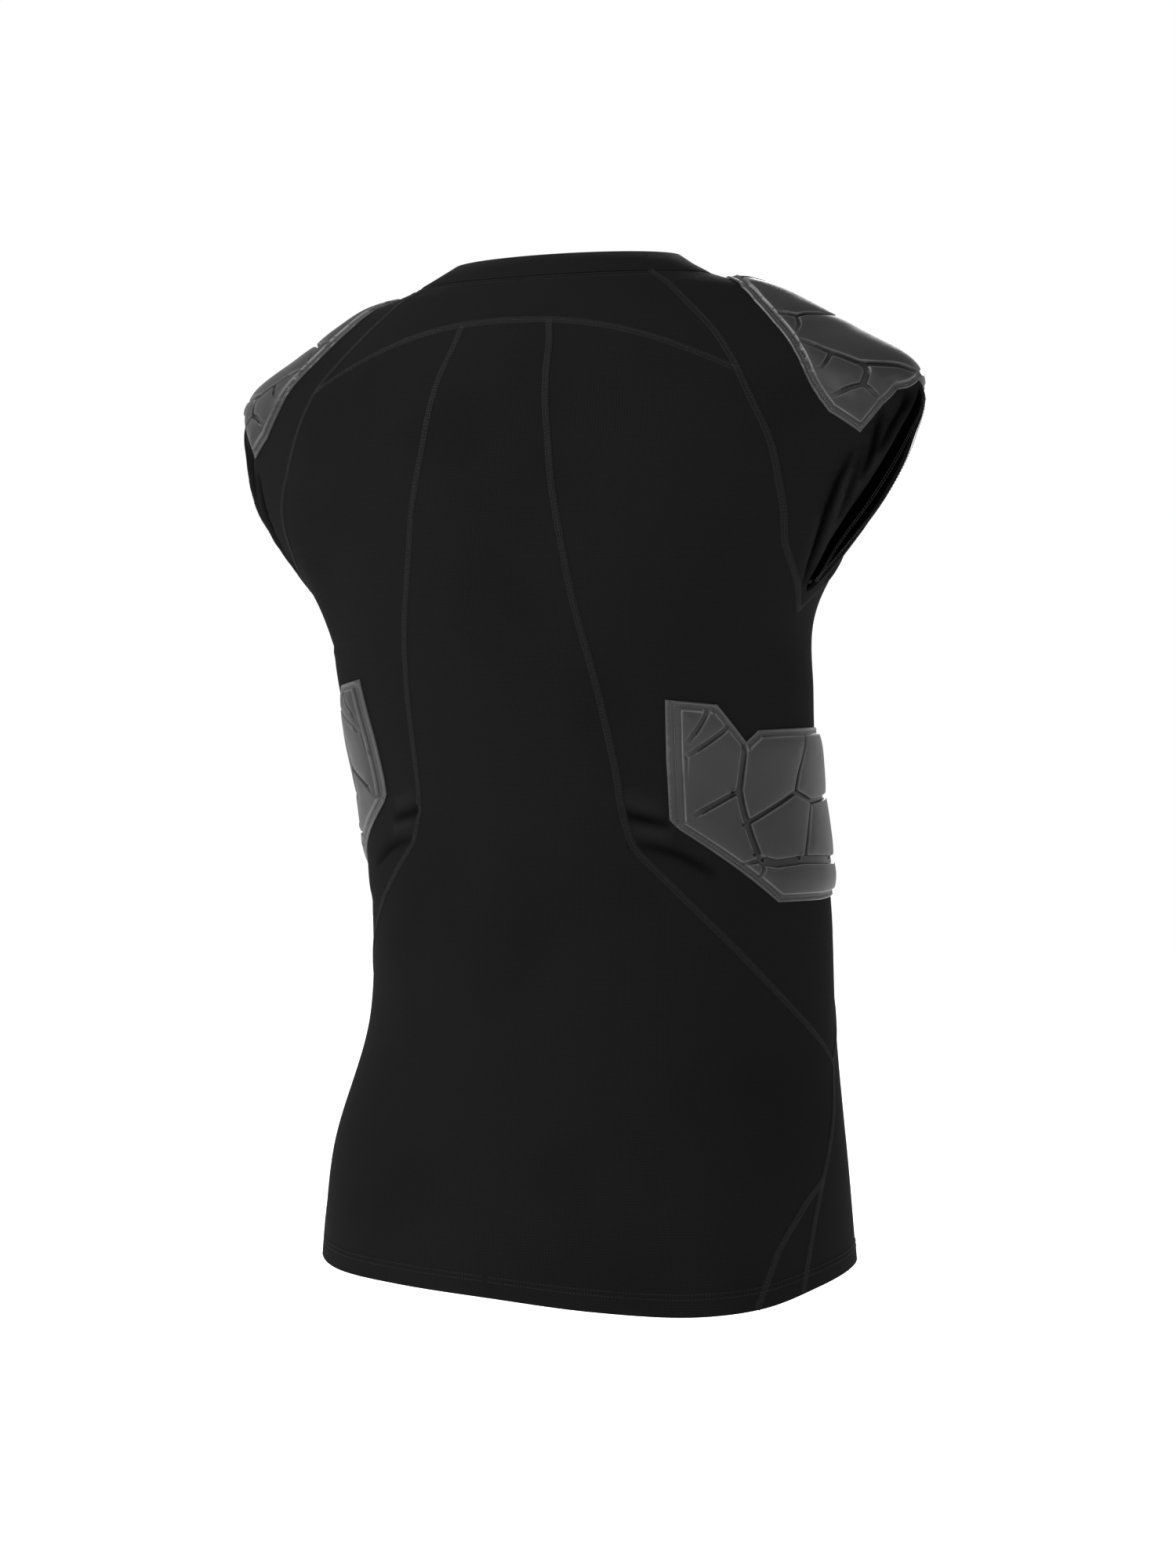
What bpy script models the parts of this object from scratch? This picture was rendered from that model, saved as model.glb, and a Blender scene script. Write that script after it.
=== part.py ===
"""Padded compression shirt: black stretch cloth with moulded pads on the shoulders and ribs.

The garment is held open as if it were worn. Its cloth follows one smooth tube, given by the rings
in RINGS. A place on the tube is named by a turn, in degrees from the centre back towards the
wearer's right, and a height above the hem. Seams are short tables of turns and heights, each panel
is the cloth between its seams, and each pad is made from the points of the panel that carries it.

Lengths are millimetres in the tables and metres in the model. +Z is up, the wearer faces -Y, and
the wearer's right side is at -X. The origin is between the shoulders, where the wearer holds it up.
"""

import math

import bmesh
import bpy
import numpy as np
from mathutils import Vector
from mathutils.geometry import delaunay_2d_cdt

MM = 0.001

# Driving sizes
SHOULDER_HEIGHT = 620.0     # the origin's height above the hem
CLOTH = 1.6                 # thickness of the knitted cloth
BAND_CLOTH = 2.4            # the neckband is folded double
SEAM_GAP = 0.3              # between pieces that are sewn to each other
POINT_SPACING = 18.0        # between the cloth's points
PAD_FLANGE = 1.5            # the pads' flat sewn edge and groove floors
PAD_RISE = 4.2              # how far the pads' cells stand above it
PAD_CROWN = 0.8             # how much a cell is fuller in its middle
GROOVE_HALF = 1.4           # half the width between cells in their tables
CELL_BEVEL = 2.2            # the sloping side of a cell, seen from above

# The tube's rings, from the hem up to the neckband's top edge
RING_COLUMNS = ("height", "half_width", "wing", "back", "front", "centre_y",
                "back_rise", "front_drop", "right_drop", "boxy")
RINGS = (
    (0, 186, 0, 131, 140, 6, -10, -4, 4, 0.03),
    (69, 181, 0, 136, 133, 2, -2, 0, 2, 0.02),
    (159, 167, 0, 134, 128, -16, 2, 0, 0, 0),
    (248, 165, 0, 126, 122, -13, -3, 0, 0, 0),
    (321, 161, 0, 111, 122, 1, -9, 0, 0, 0),
    (384, 168, 0, 106, 131, 24, -4, 0, 0, 0),
    (432, 174, 0, 103, 143, 40, -1, 0, 0, 0),
    (474, 185, 21, 99, 151, 48, 0, 0, 0, 0),
    (510, 199, 37, 101, 151, 48, -1, 0, 0, 0),
    (547, 208, 44, 107, 143, 38, -1, 0, 0, 0),
    (575, 207, 50, 107, 130, 34, -4, 4, 0, 0),
    (592, 200, 46, 102, 120, 33, -4, 11, 0, 0),
    (613, 179, 31, 89, 105, 33, -1, 23, 0, 0),
    (632, 151, 26, 78, 91, 36, 0, 40, 0, 0),
    (649, 124, 18, 66, 80, 38, 0, 57, 0, 0),
    (659, 105, 4, 56, 71, 37, -2, 67, 0, 0),
    (674, 82, 0, 40, 61, 32, 0, 69, 0, 0),
)
WING_POWER = 12             # how closely the sleeves' wings keep to the sides
HEM = 0.0
# How far the hem is raised, as (turn, millimetres), and the height at which that has faded out
HEM_RISE = ((-180, 0), (-90, -1), (-45, -1.5), (-20, 2.8), (0, 4), (20, 1), (45, -2.7),
            (60, -1.8), (80, 4), (100, 7), (140, 3), (180, 0))
HEM_FADE = 90.0
NECK_SEAM = 659.0
BAND_TOP = 674.0

# Seams on the wearer's right, as (height, turn); the left ones mirror them
BACK_PRINCESS = ((138, 97), (185, 71), (227, 53), (269, 37.5), (290, 31), (306, 29), (342, 27.4),
                 (405, 23.9), (468, 18.5), (542, 13.1), (594, 11.5), (640, 11.5))
FRONT_PRINCESS = ((138, 97), (185, 118), (227, 133), (269, 144), (306, 149), (405, 150),
                  (480, 146), (530, 137), (560, 127), (568, 122.7))
BACK_RAGLAN = ((437, 88), (474, 70.6), (500, 65), (542, 57.6), (575, 52.2), (590, 51), (605, 50.5),
               (632, 51.5), (659, 52.5))
FRONT_RAGLAN = ((437, 88), (474, 106), (500, 112), (542, 119), (568, 122.7), (605, 127),
                (632, 127.5), (659, 126))
SIDE_SEAM = ((68, 85), (85, 89), (107, 94), (138, 97))
GUSSET_BACK = ((0, 58.5), (15, 62), (34, 67), (46, 72), (58, 78), (68, 85))
GUSSET_FRONT = ((0, 74), (16, 76), (32, 78.5), (48, 81), (68, 85))
GUSSET_BACK_TURN = 58.5     # the gusset's corners at the hem
GUSSET_FRONT_TURN = 74.0
GUSSET_TOP = 68.0
# The yoke seam, as (turn, height)
YOKE = ((0, 626), (15, 624), (30, 616), (45, 599), (51, 590), (60, 577))
PRINCESS_TOP = 11.5         # the turn at which the back princess seam meets the yoke

HIP = 138.0                 # where the side panel comes to a point
ARMPIT = 437.0              # where the raglan seams meet under the arm
YOKE_CORNER = (51.0, 590.0)
FRONT_CORNER = 568.0        # where the front princess seam meets the raglan seam

# The arm's opening is a narrow loop, as the empty sleeve hangs
ARMHOLE_LOW = (87.0, 449.0)
ARMHOLE_HIGH = (90.3, 579.0)
ARMHOLE_BACK = 7.3          # degrees from the middle line to its back edge
ARMHOLE_FRONT = 9.0

# The largest folds of the cloth: the side, which is 1 for the wearer's right, -1 for the left and 0
# for both, the turn and height of one end and of the other, the half width, and how far the cloth
# moves out. The widest are where the left side stands out a little further than the right.
FOLDS = (
    (0, 73.5, 546, 80.5, 462, 5.5, -3.2),
    (0, 77.0, 560, 82.5, 466, 4.5, 2.0),
    (0, 80.0, 570, 84.5, 474, 4.5, -2.6),
    (0, 108.5, 548, 98.0, 466, 5.5, -3.0),
    (0, 102.5, 560, 95.5, 470, 4.5, 1.8),
    (0, 28.5, 313, 41.0, 305, 5.0, -2.8),
    (0, 32.0, 287, 44.0, 284, 5.0, -2.4),
    (0, 151.0, 309, 138.0, 303, 5.0, -2.6),
    (0, 146.0, 283, 136.0, 282, 4.5, -2.0),
    (-1, 64.0, 415, 70.0, 245, 42.0, 5.5),
    (-1, 62.0, 530, 62.0, 410, 26.0, 2.5),
)
NARROW = 10.0               # half width up to which a fold gets points of its own
FOLD_DEGREE = 2.5           # millimetres of cloth in a degree of turn near the folds

# The shoulder pad's back half as (turn, height), from its neck end to its tip; the front mirrors it
SHOULDER_EDGE = ((87, 654.5), (82.5, 651), (70, 630), (66, 609), (64.2, 595), (64.4, 582), (65.6, 569),
                 (67.6, 561), (74.5, 547.5), (77.6, 565), (80.8, 574.5), (84.4, 576.5), (90, 582))
SHOULDER_CELLS = (
    ((85.6, 651.6), (83.4, 648.4), (90, 647.4), (96.6, 648.4), (94.4, 651.6), (90, 652.4)),
    ((82.2, 645.8), (73.2, 626.5), (76.2, 625.2), (83, 623.6), (90, 623.2), (97, 623.6),
     (103.8, 625.2), (106.8, 626.5), (97.8, 645.8), (90, 644.8)),
    ((73.8, 619.6), (83, 620.6), (90, 620.2), (97, 620.6), (106.2, 619.6), (112, 607), (109.6, 596),
     (104.6, 589.8), (97.2, 589.8), (93, 586.4), (87, 586.4), (82.8, 589.8), (75.4, 589.8),
     (70.4, 596), (68, 607)),
    ((69.3, 592), (73.6, 587.4), (74.4, 584.8), (72.8, 579.2), (68.2, 571.4), (67, 586.4)),
    ((76.4, 586), (81.2, 584.6), (83.8, 581.4), (80.4, 579.4), (76.2, 570.4), (73.9, 575.6),
     (75, 580.5)),
    ((72.4, 574.6), (75.6, 569), (73.7, 556.5), (69, 564.5), (69.3, 569)),
)
SHOULDER_CELLS_MIRRORED = (3, 4, 5)

# The rib pad's back half, from the front of its top edge round to the front of its bottom edge
RIB_EDGE = ((90, 361), (68, 361), (63.5, 354), (55, 378), (41, 382), (40.2, 345), (40, 307),
            (42.5, 300), (70, 248), (90, 247))
RIB_CELLS = (
    ((44.8, 376), (44.8, 352), (46.6, 351.5), (56.9, 364), (53.6, 375.4)),
    ((44.6, 348), (44.5, 312), (47, 313), (57.6, 325), (59.6, 333), (61.6, 347.4), (62, 352),
     (58.2, 362.6), (57.4, 362.2), (46.6, 348.2)),
    ((45, 308.4), (46.8, 303), (58.6, 278.6), (61, 278.4), (62.5, 281), (61.2, 289.6), (59.6, 301.6),
     (58.8, 313.6), (58, 321.8)),
    ((63.4, 350), (62, 333), (60.2, 324), (61, 313.6), (61.6, 304.4), (69, 311.6), (79.2, 321.2),
     (82, 333), (87.4, 350), (88.4, 356.5), (68.8, 356.5), (65, 351)),
    ((61.8, 301), (70.2, 309), (80.2, 318.4), (87.8, 311.4), (83.6, 293), (80.4, 279.4),
     (69.8, 278.8), (65.4, 280.6), (63, 289.6)),
    ((91, 356.5), (89.6, 350.4), (84, 332.8), (81.2, 321), (89.2, 313.8), (108, 316), (119.6, 320),
     (120, 324), (118.4, 333), (116.4, 350), (115, 351), (111.2, 356.5)),
    ((90, 311.6), (85.6, 292.8), (82.4, 279.4), (100, 278), (114.8, 280.6), (117, 289.6),
     (118.6, 301.6), (119.4, 313.6), (119.2, 317.6), (108, 313.8)),
    ((66.4, 270), (69.4, 268.8), (80, 270.4), (103, 268), (113.4, 270), (114.6, 265),
     (108.6, 253.5), (71.4, 253.5), (65.4, 265)),
)
RIB_CELLS_MIRRORED = (0, 1, 2)
LEFT_RIB_SHIFT = (3.5, 13.0)    # the left rib pad sits a little further round and higher

# Numbers of points along the seams
NECK_BACK_STEPS = 8
NECK_SIDE_STEPS = 5
NECK_FRONT_STEPS = 9
HEM_BACK_STEPS = 16
HEM_FRONT_STEPS = 26
GUSSET_HEM_STEPS = 3

CLOTH_COLOUR = (0.010, 0.010, 0.011, 1.0)
BAND_COLOUR = (0.011, 0.011, 0.012, 1.0)
PAD_COLOUR = (0.035, 0.035, 0.037, 1.0)


def curve_through(table, keys):
    """Values of a two-column table at the given keys, on a smooth curve through its rows."""
    xs = np.array([row[0] for row in table], float)
    ys = np.array([row[1] for row in table], float)
    steps = np.diff(xs)
    slopes = np.diff(ys) / steps
    tangents = np.empty_like(ys)
    tangents[1:-1] = (slopes[:-1] * steps[1:] + slopes[1:] * steps[:-1]) / (steps[1:] + steps[:-1])
    tangents[0] = slopes[0]
    tangents[-1] = slopes[-1]
    keys = np.asarray(keys, float)
    i = np.clip(np.searchsorted(xs, keys) - 1, 0, len(xs) - 2)
    t = (keys - xs[i]) / steps[i]
    return ((2 * t**3 - 3 * t**2 + 1) * ys[i] + (t**3 - 2 * t**2 + t) * steps[i] * tangents[i]
            + (3 * t**2 - 2 * t**3) * ys[i + 1] + (t**3 - t**2) * steps[i] * tangents[i + 1])


RING_CURVES = {name: [(ring[0], ring[k]) for ring in RINGS] for k, name in enumerate(RING_COLUMNS)}


def tube(places):
    """Points of the tube, in millimetres, at an array of (turn, height)."""
    places = np.asarray(places, float)
    turn = np.radians(places[..., 0])
    height = places[..., 1]
    ring = {name: curve_through(RING_CURVES[name], height) for name in RING_COLUMNS[1:]}
    sine = np.sin(turn)
    cosine = np.cos(turn)
    boxy = ring["boxy"]
    across = ring["half_width"] * (sine + boxy * np.sin(3 * turn)) / (1 - boxy)
    across += ring["wing"] * np.sign(sine) * np.abs(sine) ** WING_POWER
    depth = np.where(cosine > 0, ring["back"], ring["front"])
    back = ring["centre_y"] + depth * (cosine - boxy * np.cos(3 * turn)) / (1 - boxy)
    lean = np.where(cosine > 0, ring["back_rise"], -ring["front_drop"]) * cosine**2
    up = height + lean - ring["right_drop"] * sine - SHOULDER_HEIGHT
    rise = curve_through(HEM_RISE, (places[..., 0] + 180) % 360 - 180)
    up += rise * np.clip(1 - height / HEM_FADE, 0, 1)
    return np.stack([-across, back, up], axis=-1)


def tube_slopes(places):
    """How the tube's points move with the turn and with the height."""
    places = np.asarray(places, float)
    small = 0.05
    by_turn = (tube(places + [small, 0]) - tube(places - [small, 0])) / (2 * small)
    by_height = (tube(places + [0, small]) - tube(places - [0, small])) / (2 * small)
    return by_turn, by_height


def outward(places):
    """Unit vectors that point out of the tube."""
    by_turn, by_height = tube_slopes(places)
    across = np.cross(by_turn, by_height)
    return across / np.linalg.norm(across, axis=-1, keepdims=True)


def fold_depths(places):
    """How far the folds move the cloth out, in millimetres, at an array of (turn, height)."""
    places = np.asarray(places, float)
    turn = (places[..., 0] + 180) % 360 - 180
    depths = np.zeros(turn.shape)
    for side, turn_a, height_a, turn_b, height_b, half_width, depth in FOLDS:
        start = np.array([turn_a * FOLD_DEGREE, height_a])
        run = np.array([turn_b * FOLD_DEGREE, height_b]) - start
        length = np.linalg.norm(run)
        here = np.stack([np.abs(turn) * FOLD_DEGREE, places[..., 1]], axis=-1) - start
        along = here @ run / length**2
        aside = (here[..., 0] * run[1] - here[..., 1] * run[0]) / length
        taper = np.clip(4 * along * (1 - along), 0, 1) ** 0.5
        if side:
            taper = taper * (turn * side > 0)
        depths += depth * taper * np.exp(-(aside / half_width) ** 2)
    return depths


def lifted(places, lift):
    """Points at a distance outside the folded cloth's surface, in metres."""
    places = np.asarray(places, float)
    distance = fold_depths(places) + lift
    return (tube(places) + outward(places) * distance[..., None]) * MM


SHARPEST = 0.35             # keeps the inset of a sharp corner from running far


def inset(loop, distance):
    """A closed loop of places moved inwards by a distance along the cloth."""
    loop = np.asarray(loop, float)
    by_turn, by_height = tube_slopes(loop)
    turn_size = np.linalg.norm(by_turn, axis=1)
    shear = (by_height * by_turn).sum(1) / turn_size
    rise = np.sqrt((by_height**2).sum(1) - shear**2)
    area = (loop[:, 0] * np.roll(loop[:, 1], -1) - np.roll(loop[:, 0], -1) * loop[:, 1]).sum()
    inside = 1 if area > 0 else -1
    moved = np.empty_like(loop)
    for i, place in enumerate(loop):
        normals = []
        for step in (place - loop[i - 1], loop[(i + 1) % len(loop)] - place):
            flat = np.array([step[0] * turn_size[i] + step[1] * shear[i], step[1] * rise[i]])
            flat /= np.linalg.norm(flat)
            normals.append(inside * np.array([-flat[1], flat[0]]))
        total = normals[0] + normals[1]
        shift = distance * total / max(SHARPEST, 1 + normals[0] @ normals[1])
        height_shift = shift[1] / rise[i]
        turn_shift = (shift[0] - height_shift * shear[i]) / turn_size[i]
        moved[i] = place + (turn_shift, height_shift)
    return moved


# The plane in which panels are cut into triangles: its units are about a millimetre of cloth
DEGREE_SIZE = 2.9
SLOPE_START = 570.0
SLOPE_STRETCH = 0.5


def to_plane(places):
    places = np.asarray(places, float)
    extra = SLOPE_STRETCH * np.maximum(places[..., 1] - SLOPE_START, 0)
    return np.stack([places[..., 0] * DEGREE_SIZE, places[..., 1] + extra], axis=-1)


def from_plane(points):
    points = np.asarray(points, float)
    extra = np.maximum(points[..., 1] - SLOPE_START, 0)
    height = points[..., 1] - extra + extra / (1 + SLOPE_STRETCH)
    return np.stack([points[..., 0] / DEGREE_SIZE, height], axis=-1)


def inside(points, loop):
    """Which points of the plane lie inside a closed loop."""
    result = np.zeros(len(points), bool)
    for a, b in zip(loop, np.roll(loop, -1, axis=0)):
        crosses = (a[1] > points[:, 1]) != (b[1] > points[:, 1])
        if a[1] != b[1]:
            meet = a[0] + (points[:, 1] - a[1]) * (b[0] - a[0]) / (b[1] - a[1])
            result ^= crosses & (points[:, 0] < meet)
    return result


def distance_to_loop(points, loop):
    """Distance in the plane from each point to the nearest edge of a closed loop."""
    nearest = np.full(len(points), np.inf)
    for a, b in zip(loop, np.roll(loop, -1, axis=0)):
        run = b - a
        t = np.clip((points - a) @ run / max(run @ run, 1e-9), 0, 1)
        nearest = np.minimum(nearest, np.linalg.norm(points - a - t[:, None] * run, axis=1))
    return nearest


def lattice(loop, spacing):
    """Staggered rows of points over a loop's extent in the plane, the same rows for every loop."""
    low = np.floor(loop.min(axis=0) / spacing).astype(int) - 1
    high = np.ceil(loop.max(axis=0) / spacing).astype(int) + 1
    row_step = 0.87
    rows = range(int(low[1] / row_step) - 2, int(high[1] / row_step) + 2)
    return np.array([((i + 0.5 * (j % 2)) * spacing, j * spacing * row_step)
                     for j in rows for i in range(low[0], high[0] + 1)])


def fold_points(step=13.0):
    """Places along each fold's line and both its flanks, on both sides of the garment."""
    places = []
    for _, turn_a, height_a, turn_b, height_b, half_width, _ in FOLDS:
        if half_width > NARROW:
            continue
        run = np.array([(turn_b - turn_a) * FOLD_DEGREE, height_b - height_a])
        length = np.linalg.norm(run)
        aside = np.array([run[1], -run[0]]) / length * half_width * 1.5
        for along in np.linspace(0.08, 0.92, max(3, int(length / step))):
            for side in (-1, 0, 1):
                shift = along * run + side * aside
                turn = turn_a + shift[0] / FOLD_DEGREE
                height = height_a + shift[1]
                places += [(turn, height), (-turn, height), (360 - turn, height)]
    return np.array(places)


def flood(flat, faces, barriers, loop, holes=()):
    """The triangles inside a loop, and outside its holes, that no barrier edge parts."""
    walls = {frozenset(edge) for ring in barriers for edge in zip(ring, ring[1:] + ring[:1])}
    neighbours = {}
    for k, face in enumerate(faces):
        for a, b in zip(face, np.roll(face, -1)):
            neighbours.setdefault(frozenset((int(a), int(b))), []).append(k)
    corners = flat[faces]
    sides = corners[:, 1:] - corners[:, :1]
    area = np.abs(sides[:, 0, 0] * sides[:, 1, 1] - sides[:, 0, 1] * sides[:, 1, 0])
    centres = corners.mean(axis=1)
    area *= inside(centres, loop)
    for hole in holes:
        area *= ~inside(centres, hole)
    start = int(np.argmax(area))
    reached = {start}
    waiting = [start]
    while waiting:
        face = faces[waiting.pop()]
        for a, b in zip(face, np.roll(face, -1)):
            edge = frozenset((int(a), int(b)))
            if edge in walls:
                continue
            for k in neighbours[edge]:
                if k not in reached:
                    reached.add(k)
                    waiting.append(k)
    return faces[sorted(reached)]


def cut(outline, holes=(), loops=(), spacing=POINT_SPACING, extra=None, clearance=0.42):
    """Triangles over the places inside an outline. Loops are kept as edges; holes are left out.

    The clearance is how near free points come to a ring, as a share of the spacing. Returns the
    places, the triangles and, for each ring that was given, its places' numbers.
    """
    rings = [to_plane(ring) for ring in (outline, *holes, *loops)]
    points = np.concatenate(rings)
    starts = np.cumsum([0] + [len(ring) for ring in rings])
    edges = []
    for start, ring in zip(starts, rings):
        edges += [(start + k, start + (k + 1) % len(ring)) for k in range(len(ring))]
    free = lattice(rings[0], spacing)
    if extra is not None:
        fine = to_plane(extra)
        gaps = np.linalg.norm(free[:, None] - fine[None], axis=2).min(axis=1)
        free = np.concatenate([free[gaps > 0.5 * spacing], fine])
    free = free[inside(free, rings[0])]
    for hole in rings[1:1 + len(holes)]:
        free = free[~inside(free, hole)]
    for ring in rings:
        free = free[distance_to_loop(free, ring) > clearance * spacing]
    points = np.concatenate([points, free])
    result = delaunay_2d_cdt([Vector(p) for p in points], edges, [], 0, 1e-5)
    flat = np.array([tuple(v) for v in result[0]])
    faces = np.array([tuple(face) for face in result[2]])
    number = {source: k for k, sources in enumerate(result[3]) for source in sources}
    numbers = [[number[start + k] for k in range(len(ring))] for start, ring in zip(starts, rings)]
    solid = flood(flat, faces, numbers[:1 + len(holes)], rings[0], rings[1:1 + len(holes)])
    return from_plane(flat), solid, numbers


def wall(top, bottom, faces):
    """Closed wall between two point sets that share their triangles."""
    count = len(top)
    used = {}
    for face in faces:
        for a, b in zip(face, np.roll(face, -1)):
            used[(int(a), int(b))] = True
    rims = [(a, b) for a, b in used if (b, a) not in used]
    polygons = [tuple(int(k) for k in face) for face in faces]
    polygons += [tuple(int(k) + count for k in reversed(face)) for face in faces]
    polygons += [(b, a, a + count, b + count) for a, b in rims]
    return np.concatenate([top, bottom]), polygons


def make_object(name, points, polygons, material):
    """A closed body in the scene, with its faces turned outwards and shaded smooth."""
    shape = bmesh.new()
    corners = [shape.verts.new(point) for point in points]
    for polygon in polygons:
        shape.faces.new([corners[k] for k in polygon])
    loose = [corner for corner in shape.verts if not corner.link_faces]
    bmesh.ops.delete(shape, geom=loose, context="VERTS")
    bmesh.ops.recalc_face_normals(shape, faces=shape.faces)
    if shape.calc_volume(signed=True) < 0:
        bmesh.ops.reverse_faces(shape, faces=shape.faces)
    mesh = bpy.data.meshes.new(name)
    shape.to_mesh(mesh)
    shape.free()
    mesh.shade_smooth()
    mesh.set_sharp_from_angle(angle=math.radians(40))
    mesh.materials.append(material)
    piece = bpy.data.objects.new(name, mesh)
    bpy.context.scene.collection.objects.link(piece)
    return piece


def make_material(name, colour, roughness):
    material = bpy.data.materials.new(name)
    material.use_nodes = True
    shader = material.node_tree.nodes["Principled BSDF"]
    shader.inputs["Base Color"].default_value = colour
    shader.inputs["Roughness"].default_value = roughness
    shader.inputs["Metallic"].default_value = 0.0
    return material


def seam(table, low, high, step=15.0):
    """Places along a seam given by height, from its low end to its high end."""
    count = max(2, round(abs(high - low) / step) + 1)
    heights = np.linspace(low, high, count)
    return np.stack([curve_through(table, heights), heights], axis=1)


def yoke_line(start, end, steps):
    turns = np.linspace(start, end, steps + 1)
    return np.stack([turns, curve_through(YOKE, np.abs(turns))], axis=1)


def level_line(start, end, height, steps):
    turns = np.linspace(start, end, steps + 1)
    return np.stack([turns, np.full(steps + 1, height)], axis=1)


def joined(*lines):
    """One closed loop from lines that follow each other, with shared ends kept once."""
    places = []
    for line in lines:
        for place in line:
            if not places or np.abs(place - places[-1]).max() > 1e-6:
                places.append(np.array(place, float))
    if np.abs(places[0] - places[-1]).max() < 1e-6:
        places.pop()
    return np.array(places)


def mirrored(line, about=0.0):
    """The same line on the other side of a turn."""
    return np.asarray(line, float) * (-1, 1) + (2 * about, 0)


SEAMS = {
    "back_princess": seam(BACK_PRINCESS, HIP, curve_through(YOKE, [PRINCESS_TOP])[0]),
    "front_princess": seam(FRONT_PRINCESS, HIP, FRONT_CORNER),
    "back_raglan_low": seam(BACK_RAGLAN, ARMPIT, YOKE_CORNER[1], 13.0),
    "back_raglan_high": seam(BACK_RAGLAN, YOKE_CORNER[1], NECK_SEAM, 12.0),
    "front_raglan_low": seam(FRONT_RAGLAN, ARMPIT, FRONT_CORNER, 13.0),
    "front_raglan_high": seam(FRONT_RAGLAN, FRONT_CORNER, NECK_SEAM, 12.0),
    "side": seam(SIDE_SEAM, GUSSET_TOP, HIP, 14.0),
    "gusset_back": seam(GUSSET_BACK, HEM, GUSSET_TOP, 14.0),
    "gusset_front": seam(GUSSET_FRONT, HEM, GUSSET_TOP, 14.0),
    "yoke_side": yoke_line(PRINCESS_TOP, YOKE_CORNER[0], 7),
    "yoke_middle": yoke_line(-PRINCESS_TOP, PRINCESS_TOP, 4),
}
SEAMS["back_princess"][-1] = SEAMS["yoke_side"][0]
SEAMS["back_raglan_low"][-1] = SEAMS["yoke_side"][-1]
SEAMS["back_raglan_high"][0] = SEAMS["yoke_side"][-1]
RAGLAN_BACK_TURN = SEAMS["back_raglan_high"][-1][0]
RAGLAN_FRONT_TURN = SEAMS["front_raglan_high"][-1][0]


def armhole(steps=26):
    """The loop of the arm's opening, on the wearer's right."""
    angles = np.linspace(0, 2 * math.pi, steps, endpoint=False)
    share = (1 - np.cos(angles)) / 2
    heights = ARMHOLE_LOW[1] + share * (ARMHOLE_HIGH[1] - ARMHOLE_LOW[1])
    middle = ARMHOLE_LOW[0] + share * (ARMHOLE_HIGH[0] - ARMHOLE_LOW[0])
    width = np.where(np.sin(angles) > 0, ARMHOLE_BACK, ARMHOLE_FRONT)
    return np.stack([middle - width * np.sin(angles), heights], axis=1)


def fine_loop(places, step):
    """A closed loop with points added so that no side is longer than a step."""
    result = []
    for a, b in zip(places, np.roll(places, -1, axis=0)):
        length = np.linalg.norm(to_plane(b) - to_plane(a))
        pieces = max(1, math.ceil(length / step))
        result += [a + (b - a) * k / pieces for k in range(pieces)]
    return np.array(result)


def whole_edge(half_edge):
    """A pad's closed edge from its back half and the mirrored front half."""
    half = np.array(half_edge, float)
    return joined(half, mirrored(half[::-1], about=90))


def whole_cells(cells, mirrored_ones):
    half = [np.array(cell, float) for cell in cells]
    return half + [mirrored(half[k][::-1], about=90) for k in mirrored_ones]


def add_cloth(name, outline, material, holes=(), loops=(), folds=None):
    """A panel between its seams. Returns its places, triangles and the last loop's numbers."""
    places, faces, numbers = cut(inset(outline, SEAM_GAP / 2), holes, loops, extra=folds)
    points, polygons = wall(lifted(places, 0), lifted(places, -CLOTH), faces)
    make_object(name, points, polygons, material)
    return places, faces, numbers[-1]


def add_pad(name, carrier, edge, cells, material):
    """A moulded pad. Its underside is the carrying panel's own points, moved out by the gap."""
    places, faces, ring_low = carrier
    under = flood(to_plane(places), faces, [ring_low], to_plane(edge))
    feet = [fine_loop(inset(cell, GROOVE_HALF / 2), POINT_SPACING) for cell in cells]
    tops = [inset(foot, CELL_BEVEL) for foot in feet]
    upper_places, upper, numbers = cut(edge, loops=[*feet, *tops], clearance=0.3)
    ring_high = numbers[0]
    flat = to_plane(upper_places)
    lift = np.full(len(flat), SEAM_GAP + PAD_FLANGE)
    for foot, top in zip(feet, tops):
        top_flat = to_plane(top)
        depth = distance_to_loop(flat, top_flat)
        on_top = inside(flat, top_flat) | (depth < 0.01)
        crown = PAD_CROWN * np.clip(depth / POINT_SPACING, 0, 1)
        lift = np.where(on_top, SEAM_GAP + PAD_FLANGE + PAD_RISE + crown, lift)
    low_points = lifted(places, SEAM_GAP)
    high_points = lifted(upper_places, lift)
    count = len(high_points)
    polygons = [tuple(int(k) for k in face) for face in upper]
    polygons += [tuple(int(k) + count for k in reversed(face)) for face in under]
    for k, high in enumerate(ring_high):
        after = (k + 1) % len(ring_high)
        polygons.append((high, ring_high[after], ring_low[after] + count, ring_low[k] + count))
    return make_object(name, np.concatenate([high_points, low_points]), polygons, material)


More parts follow.
